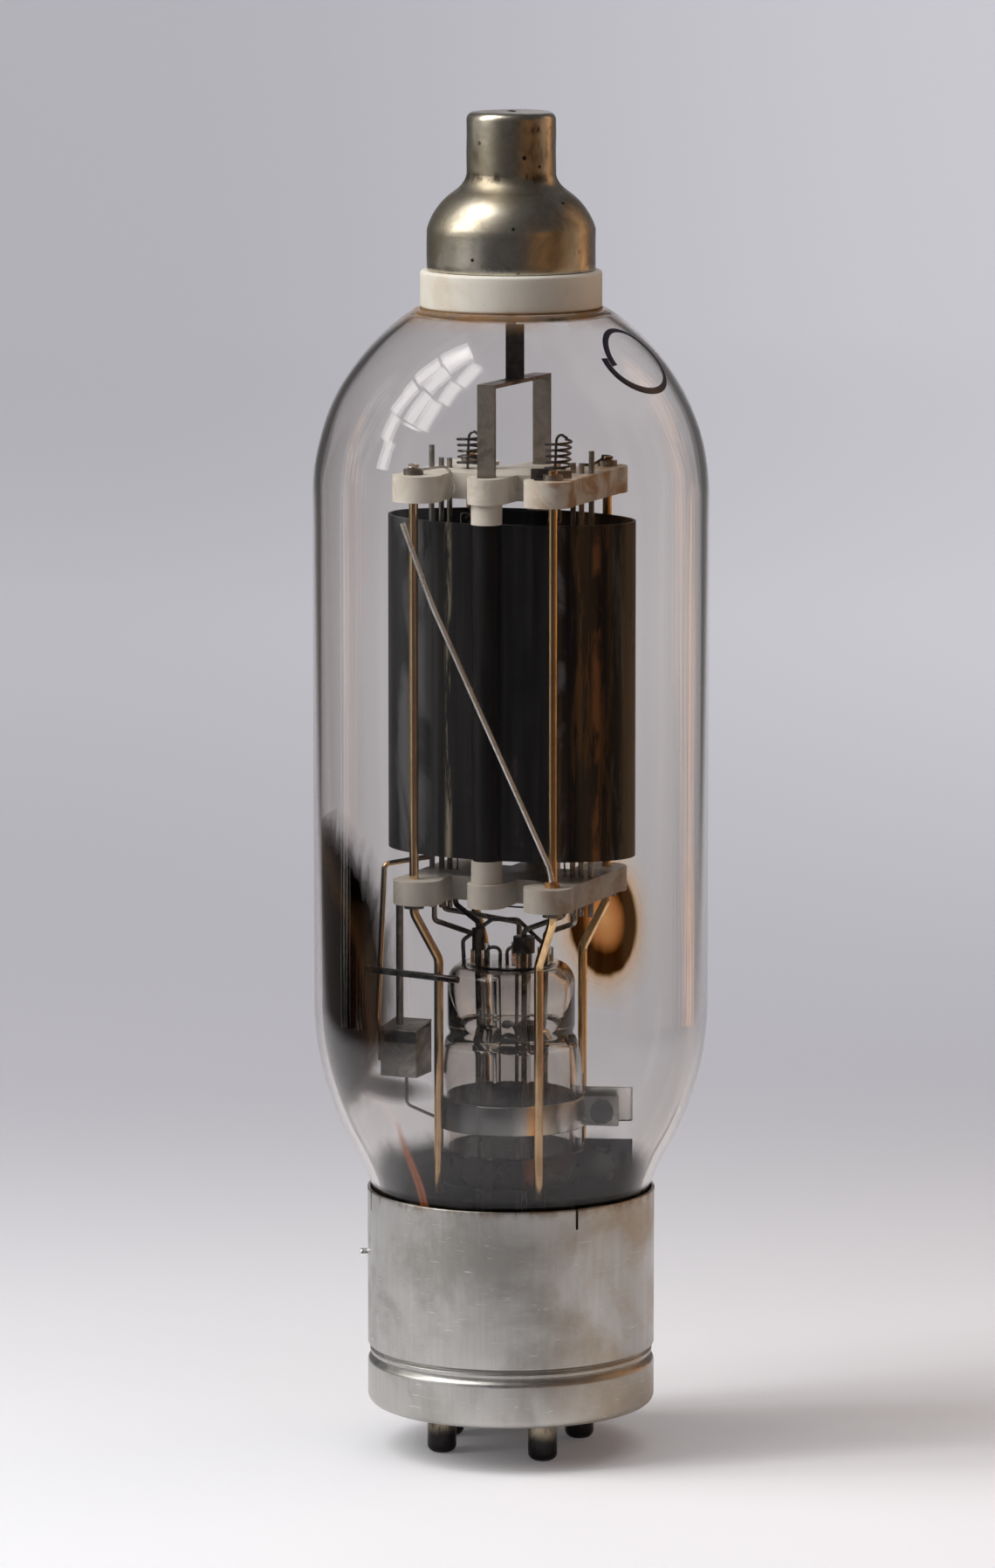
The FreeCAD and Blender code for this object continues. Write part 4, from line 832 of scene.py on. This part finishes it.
def make_lead_links(top):
    """A bent link over the stem's top and two small hairpins on it, where the leads meet the cage."""
    arch = [(x, -1.5, top + up) for x, up in (
        (-7.6, -1), (-7.6, 3.6), (-3, 6.9), (1, 6.9), (5, 3), (5.6, -0.5))]
    wires = [("lead_link", "link", arch, 0.8, 0.34)]
    for number, x in enumerate((-3.9, -0.6)):
        hairpin = [(x + across, -2.4, top + up)
                   for across, up in ((0, -1), (0, 2.6), (2.1, 2.6), (2.1, -1))]
        wires.append(("lead_hairpin_{}".format(number), "hairpin", hairpin, 1, 0.3))
    for name, label, corners, bend, thick in wires:
        add_object(name, tube_mesh(label, bend_path(corners, bend), thick), "nickel_wire",
                   material=MATERIALS["dark_wire"])


# ---------------- base

def make_base_shell():
    """Drawn shell with a rounded rim, a rolled groove, a rolled-in foot and four fine slits."""
    radius = round_radius("base_shell")
    foot, rim = heights("base_shell")
    wall, lip = 0.5, 21.2
    groove, ledge = 17, 15
    inner, sunk = radius - wall, 0.95
    profile = rounded([
        (lip, foot, 0.1), (radius, foot, 1.5), (radius, ledge - 0.1, 1), (radius - sunk, ledge + 0.75, 0.12),
        (radius - 0.35, ledge + 1, 0.25), (radius - 0.35, groove - 0.35, 0.25),
        (radius - sunk, groove, 0.12), (radius, groove + 0.5, 0.35), (radius, rim - 1),
        (radius + 0.04, rim, 0.24), (inner, rim, 0.24), (inner, groove + 0.9, 0.3),
        (inner - sunk, groove + 0.1, 0.3), (inner - sunk, ledge + 0.6, 0.3), (inner, ledge - 0.6, 0.3),
        (inner, foot + wall, 1), (lip, foot + wall, 0.1)])

    def hand_worn(angle, z):
        dent = 1 - 0.0012 * exp(-((angle + 1.9) / 0.25) ** 2 - ((z - 12) / 2.5) ** 2)
        return dent - 0.0007 * sin(4 * angle + z * 0.1) * max(0, (z - 34) / 10)

    mesh = lathe("shell", fill_heights(profile, 2.5), 288, swell=hand_worn)
    shell = add_object("base_shell_shape", mesh, "base_nickel", "base_shell", crease=50)
    cutters = [slit_cutter(azimuth, radius, rim) for azimuth in (-76.5, 26.9, 103.5, 206.9)]
    for cutter in cutters:
        trim = shell.modifiers.new("slit", "BOOLEAN")
        trim.operation = "DIFFERENCE"
        trim.solver = "EXACT"
        trim.object = cutter
    apply_modifiers(shell, 50)
    for cutter in cutters:
        bpy.data.objects.remove(cutter)


def fill_heights(profile, step):
    """Add points on long upright runs of a profile, so that small dents can be shaped."""
    filled = []
    for here, after in zip(profile, profile[1:] + profile[:1]):
        filled.append(here)
        count = int(dist(here, after) / step)
        for number in range(1, count):
            share = number / count
            filled.append((here[0] + (after[0] - here[0]) * share, here[1] + (after[1] - here[1]) * share))
    return filled


def slit_cutter(azimuth, radius, rim, depth=3.4, width=0.45):
    """A thin blade across the rim, with a rounded lower edge."""
    side = at_azimuth(1, azimuth + 90)
    way = at_azimuth(1, azimuth)
    outline = [(-width / 2, rim + 1), (width / 2, rim + 1), (width / 2, rim - depth + width / 2),
               (0, rim - depth), (-width / 2, rim - depth + width / 2)]
    points = []
    for reach in (-radius - 2, radius + 2):
        points += [way * reach + side * x + Vector((0, 0, z)) for x, z in outline]
    count = len(outline)
    faces = [tuple(range(count)), tuple(range(count, 2 * count))]
    faces += [(i, (i + 1) % count, (i + 1) % count + count, i + count) for i in range(count)]
    return put_in_scene("cutter", make_mesh("blade", points, faces))


def make_base_pins():
    """Hollow pins with a rounded solder tip."""
    radius, collar, bore, step_radius, step_low, step_high = 2.38, 2.9, 0.9, 1.9, 8.98, 13.42
    dimple, round_tip = 1.15, 1.35
    for number in range(1, 6):
        node = "base_pin_{}".format(number)
        low, high = low_high(node)
        place = (low + high) / 2
        profile = [(0, 0)] + arc(dimple, dimple, dimple, 270, 300, 3)
        profile += arc(radius - round_tip, 1.3, round_tip, 315, 360, 6)
        profile += [(radius, z) for z in (2.2, 3.4, 4.6, 5.8, 7, 8.2)]
        profile += [(radius - 0.02, 8.96), (step_radius, step_low), (step_radius, step_high),
                    (collar, step_high), (collar, high.z), (bore, high.z), (bore, 2.5), (0, 2.5)]

        def pitted(angle, z, seed=number):
            return 1 + 0.006 * sin(5 * angle + z * 1.7 + seed) * (1 if z < 9 else 0)

        mesh = lathe("pin", profile, 72, swell=pitted)
        mesh.transform(Matrix.Translation(Vector((place.x, place.y, 0)) * MM))
        add_object(node + "_shape", mesh, "pin_metal", node)


def make_base_cement():
    """Cement that has crept up the glass in an uneven edge."""
    radius = round_radius("base_cement")
    low, high = heights("base_cement")
    rise = high - NECK_HIGH

    def crept(angle, z):
        return 0.22 * sin(5 * angle) + 0.12 * sin(13 * angle + 1) - 0.15 if z > high - 1.2 else 0

    def glass_radius(climb):
        return NECK_RADIUS + FLARE_IN - sqrt(FLARE_IN ** 2 - climb ** 2) + CLEARANCE

    profile = [(NECK_RADIUS + CLEARANCE, low), (radius, low), (radius, high - 0.3), (radius - 0.1, high),
               (glass_radius(rise), high + 0.35)]
    for step in range(1, 6):
        climb = rise * (1 - step / 6)
        profile.append((glass_radius(climb), NECK_HIGH + climb))
    add_object("base_cement_shape", lathe("cement", profile, lift=crept), "dark_cement", "base_cement")


# ---------------- top cap

def make_cap():
    """Thimble, domed skirt and ceramic ring, each with the small dents and soft edges of use."""
    low, top = heights("cap_thimble")
    radius = round_radius("cap_thimble")
    sheet, hole = 0.5, 0.8
    outside = rounded([(radius, low), (radius, top, 1.3), (hole, top), (hole, top - sheet),
                       (radius - sheet, top - sheet, 0.4), (radius - sheet, low)])

    def dented(angle, z):
        return 1 + 0.0035 * sin(3 * angle + 0.4) + 0.003 * sin(7 * angle + z)

    def uneven(angle, z):
        return 0.05 * sin(2 * angle)

    mesh = lathe("thimble", fill_heights(outside, 1.2), 128, swell=dented, lift=uneven)
    add_object("cap_thimble_shape", mesh, "cap_metal", "cap_thimble", crease=60)
    tip = [(0, top - 0.3), (0.82, top - 0.3), (0.82, top)] + arc(0, top - 1.2, 1.45, 55, 88, 5)
    add_object("cap_solder", lathe("solder", tip + [(0, top + 0.25)], 48), "cap_metal",
               material=MATERIALS["pin_metal"])
    make_cap_skirt(radius)
    low, high = heights("cap_ceramic_ring")
    ring, bore = round_radius("cap_ceramic_ring"), 10.6
    outline = rounded([(bore, low), (ring, low, 0.45), (ring, high, 0.55), (bore, high)])

    def turned(angle, z):
        return 1 - 0.0015 * (sin(9 * angle) * sin(4 * angle + z)) ** 2

    mesh = lathe("ring", fill_heights(outline, 0.8), swell=turned)
    add_object("cap_ring_shape", mesh, "cap_ceramic", "cap_ceramic_ring")


def make_cap_skirt(thimble):
    """The domed skirt, and the joint that runs from its crown up the thimble in a soft curve."""
    foot, crown = heights("cap_skirt")
    skirt = round_radius("cap_skirt")
    shoulder, turn, sheet = 199.7, 10.75, 0.5
    half = atan2(2.9, 10.36)
    centre_r, centre_z = skirt - turn * cos(half), shoulder - turn * sin(half)
    start, end = degrees(half), degrees(atan2(crown - centre_z, 7.2 - centre_r))
    foot_r = thimble + 2.1
    foot_z = centre_z + sqrt(turn ** 2 - (foot_r - centre_r) ** 2) + CLEARANCE
    fillet = [(thimble - 0.2, crown - 0.3), (thimble - 0.2, crown + 1.7)]
    for step in range(11):
        t = step / 10
        first, between, last = (1 - t) ** 2, 2 * t * (1 - t), t * t
        fillet.append((first * (thimble + 0.01) + between * (thimble + 0.25) + last * foot_r,
                       first * (crown + 1.7) + between * (crown + 0.1) + last * foot_z))
    fillet.append((foot_r - 0.1, foot_z - 0.25))
    add_object("cap_joint", lathe("joint", fillet, 128), "cap_metal", crease=60)
    profile = [(skirt - sheet, foot), (skirt - 0.1, foot), (skirt, foot + 0.15)]
    profile += [(skirt, z) for z in (194.5, 196, 197.5, 199)]
    profile += arc(centre_r, centre_z, turn, start, end, 18)
    profile += [(5.6, crown), (5.6, crown - sheet), (6.9, crown - sheet)]
    profile += arc(centre_r, centre_z, turn - sheet, end, start, 14)

    def planished(angle, z):
        return 1 + 0.0012 * sin(5 * angle + z * 0.6) + 0.0008 * sin(11 * angle - z)

    mesh = lathe("skirt", profile, swell=planished)
    add_object("cap_skirt_shape", mesh, "cap_metal", "cap_skirt", crease=60)


# ---------------- springs, hooks and filaments

def make_springs():
    """Each spring and filament hairpin runs between the tube and its hook."""
    wire, turns, steps = 0.21, 5, 22
    count = turns * steps
    for side, name in ((-1, "left"), (1, "right")):
        spring, filament = "filament_spring_" + name, "filament_" + name
        body = "filament_hook_{}_body".format(name)
        low, high = low_high(spring)
        centre = (low + high) / 2
        radius = (high.x - low.x) / 2 + 0.1
        centre.x += 0.5
        path = []
        for step in range(count + 1):
            angle = 2 * pi * step / steps + side
            taper = 1 - 0.10 * sin(pi * step / count)
            path.append((centre.x + radius * taper * cos(angle),
                         centre.y + radius * taper * sin(angle),
                         low.z + wire + (high.z - low.z - 2 * wire) * step / count))
        coil = add_object(spring + "_coil", tube_mesh("coil", path, wire, 10), "spring_wire", spring, None)
        make_hook(name, centre, radius, high.z, body)
        mesh = frame["nodes"][filament].data.copy()
        mesh.materials.clear()
        hairpin = add_object(filament + "_wire", mesh, "filament_wire", filament, None)
        for piece, (foot, head) in ((coil, (low.z, high.z)), (hairpin, heights(filament))):
            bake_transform(piece)


def make_hook(name, centre, radius, top, body):
    """A wire from under the filament's bend, up through the spring and over its top coil."""
    node = "filament_hook_" + name
    thick, thin = 0.4, 0.22
    start = heights(node)[0] + thick
    toe = caged(0, -1.7)
    over = caged(radius, 0)
    path = [(centre.x + toe.x, centre.y + toe.y, start), (centre.x, centre.y, start),
            (centre.x, centre.y, start + 6)]
    for share, z in ((0.1, top - 1.6), (0.15, top + 0.1), (0.75, top + 0.15)):
        path.append((centre.x + over.x * share, centre.y + over.y * share, z))
    mesh = tube_mesh("hook", bend_path(path, 0.4), lambda t: thick if t < 0.3 else thin, 16)
    add_object(node + "_wire", mesh, "nickel_wire", node, body, material=MATERIALS["dark_wire"])


# ---------------- ties on the top spider

def make_rod_ties():
    """Wire ties that lash two support rods to the top spider, and a bent dark tab at the front right rod."""
    top = heights("top_ceramic")[1]
    corner_x, corner_y = 12, 12.1
    loop_radius, loop_steps, loop_rise, wire = 0.75, 12, 0.045, 0.22
    # The front left tie takes the wire with painted highlights, the back right one the dark wire.
    tails = (("front_left", -1, -1, "bright_wire", ((1.2, -0.3, 1.1), (4.9, 0.3, 0.8), (5.6, 0.5, 0.1),
                                                   (6.1, 0.3, -2.2), (5.5, 0, -4.3))),
             ("back_right", 1, 1, "dark_wire", ((-1.2, -0.3, 1.3), (-2.6, -0.8, 0.6), (-4.4, -1, 0.35))))
    for name, way_x, way_y, look, tail in tails:
        foot = caged(corner_x * way_x, corner_y * way_y)
        loops = []
        for step in range(31):
            angle = 2 * pi * step / loop_steps
            loops.append((foot.x + loop_radius * cos(angle), foot.y + loop_radius * sin(angle),
                          top + 0.3 + loop_rise * step))
        run = [(foot.x + x, foot.y + y, top + z) for x, y, z in tail]
        path = loops + bend_path([loops[-1]] + run, 0.6)[1:]
        add_object("rod_tie_" + name, tube_mesh("tie", path, wire, 10), "nickel_wire",
                   material=MATERIALS[look])
    corner = caged(corner_x - 0.6, -corner_y + 1.9, top)
    for name, place, sizes, turn, slot, bevel in (
            ("rod_tab", (-1.65, 0, 0.75), (4, 0.4, 1.9), -4, "dark_strip", 0.12),
            ("rod_tab_foot", (-1.3, -1.2, 0.17), (3.6, 2.6, 0.3), -4, "dark_strip", 0.1),
            ("rod_tab_wing", (1.7, 0.5, 0.5), (2.4, 0.3, 1.6), 12, "nickel_strip", 0.1)):
        plate(name, corner + Vector(place), sizes, turn, slot, bevel)


def plate(name, centre, sizes, turn, slot, bevel, lean=0):
    """A flat piece of sheet with rounded edges, turned about Z and leaned about its own X axis."""
    half = [size / 2 for size in sizes]
    spin = Matrix.Rotation(radians(turn), 3, "Z") @ Matrix.Rotation(radians(lean), 3, "X")
    points = []
    for z in (-half[2], half[2]):
        for x, y in ((-half[0], -half[1]), (half[0], -half[1]), (half[0], half[1]), (-half[0], half[1])):
            points.append(Vector(centre) + spin @ Vector((x, y, z)))
    faces = [(0, 3, 2, 1), (4, 5, 6, 7), (0, 1, 5, 4), (1, 2, 6, 5), (2, 3, 7, 6), (3, 0, 4, 7)]
    piece = add_object(name, make_mesh(name, points, faces), slot)
    round_edges(piece, bevel, 2)
    return piece


# ---------------- getter box and clamps

def make_getter_box():
    """A box of folded sheet: front, sides, back and floor, with a tilted roof that leaves a wedge open."""
    sheet, wide, deep = 0.3, 6.3, 6.2
    low = heights("getter_box")[0]
    centre_x, centre_y = -16.1, -5.9
    turn = degrees(CAGE_TURN)
    for name, place, sizes, lean in (
            ("front", (0, -deep / 2, 2.85), (wide, sheet, 5.6), 0),
            ("back", (0, deep / 2, 4.3), (wide, sheet, 8.6), 0),
            ("left", (-wide / 2 + sheet / 2, 0, 3.8), (sheet, deep - sheet, 7.2), 0),
            ("right", (wide / 2 - sheet / 2, 0, 3.9), (sheet, deep - sheet, 7.6), 0),
            ("floor", (0, 0, sheet / 2), (wide, deep, sheet), 0),
            ("roof", (0, -0.1, 8.2), (wide + 0.2, deep + 0.3, sheet), 8)):
        centre = caged(centre_x + place[0], centre_y + place[1], low + place[2])
        plate("getter_" + name, centre, sizes, turn, "getter_sheet", 0.06, lean)
    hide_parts("getter_box")


CLAMP_RADIUS, CLAMP_SHEET, CLAMP_GAP, CLAMP_HIGH, CLAMP_STEP = 12.3, 0.6, 1.4, 4.8, 8.6
EAR_REACH = 17.7


def make_clamps():
    """Two bands round the stem, painted from left to right with shade and an orange reflection, the lower
    one darker.
    """
    radius, sheet, high = CLAMP_RADIUS, CLAMP_SHEET, CLAMP_HIGH
    spin = Matrix.Rotation(radians(-5), 3, "Z")
    segments = 120
    start = degrees(asin(CLAMP_GAP / 2 / radius))
    for level, look in ((0, "clamp_steel"), (1, "burnt_steel")):
        low = heights("stem_clamps")[1] - high - CLAMP_STEP * level
        outline = rounded([(radius - sheet, low), (radius, low, 0.22), (radius, low + high, 0.22),
                           (radius - sheet, low + high)], 4)
        points = []
        for index in range(segments + 1):
            angle = radians(start + (360 - 2 * start) * index / segments)
            points += [spin @ Vector((r * cos(angle), r * sin(angle), z)) for r, z in outline]
        rows, count = segments + 1, len(outline)
        mesh = make_mesh("band", points, strips(rows, count) + ends_of(rows, count))
        band = add_object("clamp_band_{}".format(level), mesh, "clamp_steel", material=MATERIALS[look])
        if level == 0:
            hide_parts("stem_clamps")
        make_ears(level, low, spin, look)


def make_ears(level, low, spin, look):
    """One clamp's ears. The front one has rolled edges, and the longer back one ends in a hook."""
    radius, sheet, half = CLAMP_RADIUS, CLAMP_SHEET, CLAMP_GAP / 2
    front = [(radius - 0.35, -half), (EAR_REACH, -half), (EAR_REACH, -half - sheet),
             (radius - 0.2, -half - sheet)]
    back = [(radius - 0.35, half), (EAR_REACH + 1.5, half), (EAR_REACH + 2.2, half + 0.35),
            (EAR_REACH + 2.1, half + 0.85), (EAR_REACH + 1.3, half + sheet), (radius - 0.2, half + sheet)]
    for name, outline, lift, grow, way in (("front", front, 0, 0, 1), ("back", back, 0.35, 0.9, -1)):
        foot, head = low + lift, low + CLAMP_HIGH + lift + grow
        points = []
        for z, lean in ((foot, -0.3), (foot + 0.4, 0), (head - 0.5, 0), (head, 0.28)):
            points += [spin @ Vector((x, y + (lean * way if x > radius else 0), z)) for x, y in outline]
        count = len(outline)
        bottom, lid = ends_of(4, count)
        mesh = make_mesh("ear", points, [bottom[::-1], lid] + strips(4, count))
        piece = add_object("clamp_ear_{}_{}".format(name, level), mesh, "clamp_steel",
                           material=MATERIALS[look])
        round_edges(piece, 0.12, 3)


# ---------------- films on the glass

def film_patch(name, azimuth, half_width, low, high, columns, rows, material):
    """A thin patch just inside the bulb's wall."""
    side = bulb_side(GLASS_WALL)
    points = []
    for row in range(rows + 1):
        z = low + (high - low) * row / rows
        radius = radius_at(side, z) - FILM_GAP
        for column in range(columns + 1):
            points.append(at_azimuth(radius, azimuth + half_width * (2 * column / columns - 1), z))
    mesh = make_mesh(name, points, strips(rows + 1, columns + 1, closed=False))
    add_object(name, mesh, "anode_sheet", material=material)


def radius_at(side, z):
    """The radius of an outline at a height."""
    for (r0, z0), (r1, z1) in zip(side, side[1:]):
        if z0 <= z <= z1 and z1 > z0:
            return r0 + (r1 - r0) * (z - z0) / (z1 - z0)
    return side[-1][0]


def film_distance(shader, azimuth, height, half_wide, half_high, rag):
    """How far a point is from a film's middle: 0.5 on its edge, with a ragged outline."""
    turn = radians(azimuth)
    x, y = shader.axis("X"), shader.axis("Y")
    along = x * sin(turn) + y * -cos(turn)
    aside = x * cos(turn) + y * sin(turn)
    across = shader.maths("ARCTAN2", aside, along) / radians(half_wide)
    up = shader.axis("Z") - height * MM
    tall = (shader.maths("MINIMUM", up) / (half_high[0] * MM)
            + shader.maths("MAXIMUM", up) / (half_high[1] * MM))
    far = shader.maths("SQRT", across * across + tall * tall)
    grain = shader.noise(150, 4, 0.6, stretch=(1, 1, 0.35), bend=1) - 0.5
    return (far + grain * rag) * 0.5


def getter_film_material():
    """Black getter film: solid in its core, brown and streaky as it thins out upwards."""
    shader = Shader("getter_film", Roughness=0.6, Specular_IOR_Level=0)
    far = film_distance(shader, -93, 71, 47, (14.5, 31), 0.32)
    shader.set(Alpha=far.ramp((0, 1), (0.45, 1), (0.49, 0.8), (0.53, 0.25), (0.58, 0)))
    shader.set(Base_Color=far.ramp((0, (0.001, 0.001, 0.001)), (0.40, (0.002, 0.001, 0.001)),
                                   (0.47, (0.010, 0.004, 0.002)), (0.56, (0.08, 0.040, 0.016))))
    return shader.material


def amber_film_material():
    """A small amber spot with a dark brown rim and a pale yellow halo."""
    # Painted light: the film glows softly in its own colours, for the light shining through it from behind.
    shader = Shader("amber_film", Roughness=0.6, Specular_IOR_Level=0, Emission_Strength=0.5)
    far = film_distance(shader, 149, 83.2, 14, (11, 10), 0.22)
    shader.set(Alpha=far.ramp((0, 0.86), (0.18, 0.94), (0.26, 1), (0.43, 1), (0.47, 0.5), (0.58, 0.28),
                              (0.75, 0)))
    shader.set(Base_Color=far.ramp((0, (0.62, 0.25, 0.02)), (0.18, (0.40, 0.11, 0.006)),
                                   (0.28, (0.040, 0.009, 0.002)), (0.42, (0.035, 0.009, 0.003)),
                                   (0.48, (0.75, 0.40, 0.10)), (0.65, (0.98, 0.85, 0.55))))
    shader.set(Emission_Color=far.ramp((0, (0.50, 0.25, 0.07)), (0.17, (0.34, 0.14, 0.03)),
                                       (0.28, (0.01, 0.004, 0)), (0.42, (0.02, 0.008, 0)),
                                       (0.47, (0.42, 0.24, 0.08)), (0.7, (0.2, 0.15, 0.1))))
    return shader.material


def streak_material(name, azimuth, height, half_wide, half_high, colour):
    """A dark upright streak with ragged edges."""
    shader = Shader(name, Roughness=0.7, Specular_IOR_Level=0)
    far = film_distance(shader, azimuth, height, half_wide, half_high, 0.5)
    shader.set(Alpha=far.ramp((0, 0.95), (0.3, 0.85), (0.45, 0.4), (0.6, 0)),
               Base_Color=far.ramp((0, colour), (0.5, tuple(3 * c for c in colour))))
    return shader.material


def neck_painted_reflection_material():
    """Painted dark reflection on the back of the neck, thinning out upwards to a brown edge."""
    shader = Shader("neck_stain", Roughness=0.7, Specular_IOR_Level=0)
    height = shader.axis("Z") - shader.noise(120, 4, 0.6, stretch=(1, 1, 0.3)) * (4 * MM)
    shader.set(Alpha=height.span(47.5 * MM, 43 * MM, 0, 0.97),
               Base_Color=height.span(41 * MM, 47 * MM).ramp((0, (0.004, 0.003, 0.003)),
                                                             (0.6, (0.010, 0.006, 0.005)),
                                                             (1, (0.10, 0.045, 0.02))))
    return shader.material


def ring_haze_material():
    """Rusty haze on the glass round the foot of the ceramic ring."""
    shader = Shader("ring_haze", Roughness=0.8, Specular_IOR_Level=0)
    x, y = (shader.maths("POWER", shader.axis(name), 2) for name in "XY")
    thin = shader.maths("SQRT", x + y).span(14.6 * MM, 20 * MM, 0.55, 0)
    patchy = shader.noise(170, 5, 0.65, bend=0.5).span(0.3, 0.65, 0.1, 1)
    shader.set(Alpha=thin * patchy, Base_Color=shader.mix(patchy, (0.62, 0.50, 0.38), (0.42, 0.22, 0.09)))
    return shader.material


# A film's name, and its patch: azimuth, half width, low, high, columns and rows. A streak has its own
# height, half width, half height down and up, and colour as well.
FILMS = (
    ("getter_film", (-93, 62, 55.5, 104, 96, 96)),
    ("film_foot", (-41, 26, 58, 73, 64, 32), 64, 15, (2.6, 2), (0.010, 0.008, 0.006)),
    ("amber_film", (149, 24, 68, 99, 64, 64)),
    # Dark streaks on the flare: part film deposit, part painted dark reflection.
    ("flare_streak_left", (-72, 16, 38, 64, 48, 48), 51, 7, (11, 10), (0.012, 0.008, 0.006)),
    ("flare_streak_right", (82, 16, 38, 64, 48, 48), 50, 5, (7, 9), (0.03, 0.02, 0.014)),
    # Painted reflection: an orange-brown streak on the neck for warm light reflected there.
    ("rust_streak", (-40, 8, 36.5, 58, 24, 48), 46, 2.2, (12, 11), (0.16, 0.045, 0.015)),
    # Painted dark reflection on the back of the neck.
    ("neck_stain", (180, 100, 36, 50, 128, 32)))


def make_films():
    own = {"getter_film": getter_film_material, "amber_film": amber_film_material,
           "neck_stain": neck_painted_reflection_material}
    for name, patch, *streak in FILMS:
        film_patch(name, *patch, own[name]() if name in own else streak_material(name, patch[0], *streak))
    make_ring_haze()


def make_ring_haze():
    """A thin film on the dome from the ceramic ring's edge outwards."""
    dome = round_radius("glass_bulb") - DOME_ROUND
    profile = []
    for step in range(11):
        reach = 14.9 + 5.6 * step / 10
        height = DOME_START + sqrt(DOME_ROUND ** 2 - (reach - dome) ** 2)
        profile.append((reach, min(height, DOME_FLAT) + FILM_GAP))
    add_object("ring_haze", lathe("haze", profile, 160, closed=False), "brown_cement",
               material=ring_haze_material())


def make_marker_loop():
    """A hand-drawn loop of marker ink on the dome's outside, open at its upper left."""
    radius = round_radius("glass_bulb")
    centre, tilt, wide, tall = 57.7, 40.8, 15, 9.6
    last = 72
    path = []
    for step in range(last + 1):
        part = step / last
        turn = radians(190 - 375 * part)
        azimuth = centre + (wide + 3.2 * part) * cos(turn)
        rise = radians(tilt + (tall + 0.7 * part) * sin(turn))
        ring = radius - DOME_ROUND + DOME_ROUND * cos(rise) + FILM_GAP
        path.append(at_azimuth(ring, azimuth, DOME_START + DOME_ROUND * sin(rise)))
    points = []
    for index, place in enumerate(path):
        along = (path[min(index + 1, last)] - path[max(index - 1, 0)]).normalized()
        outward = Vector((place.x, place.y, (place.z - DOME_START) * 0.9)).normalized()
        side = along.cross(outward).normalized()
        width = 0.62 - 0.16 * sin(pi * min(1, index / 60))
        points += [place - side * width, place - side * width * 0.6 + outward * 0.035,
                   place + side * width * 0.6 + outward * 0.035, place + side * width]
    mesh = make_mesh("marker", points, strips(last + 1, 4, closed=False))
    add_object("marker_loop", mesh, "dark_strip", material=MATERIALS["marker_ink"])


# ---------------- the kept CAD pieces

# The stay rod and the bayonet pin take the wire with painted highlights.
DRESS = {"stay_rod": "bright_wire", "bayonet_pin": "bright_wire", "getter_wire_outer": "nickel_rod",
         "getter_wire_inner": "nickel_strip"}


def dress_nodes():
    """Give each CAD node the material of its slot, or its own from DRESS."""
    for part in frame["record"]["subparts"]:
        for slot in frame["nodes"][part["node"]].material_slots:
            slot.link = "OBJECT"
            slot.material = MATERIALS[DRESS.get(part["node"], part["material_slot"])]


make_camera()
make_lights()
make_stage()
make_materials()
make_bulb()
make_stem()
make_base_shell()
make_base_pins()
make_base_cement()
make_cap()
make_springs()
make_rod_ties()
make_getter_box()
make_clamps()
make_films()
make_marker_loop()
dress_nodes()
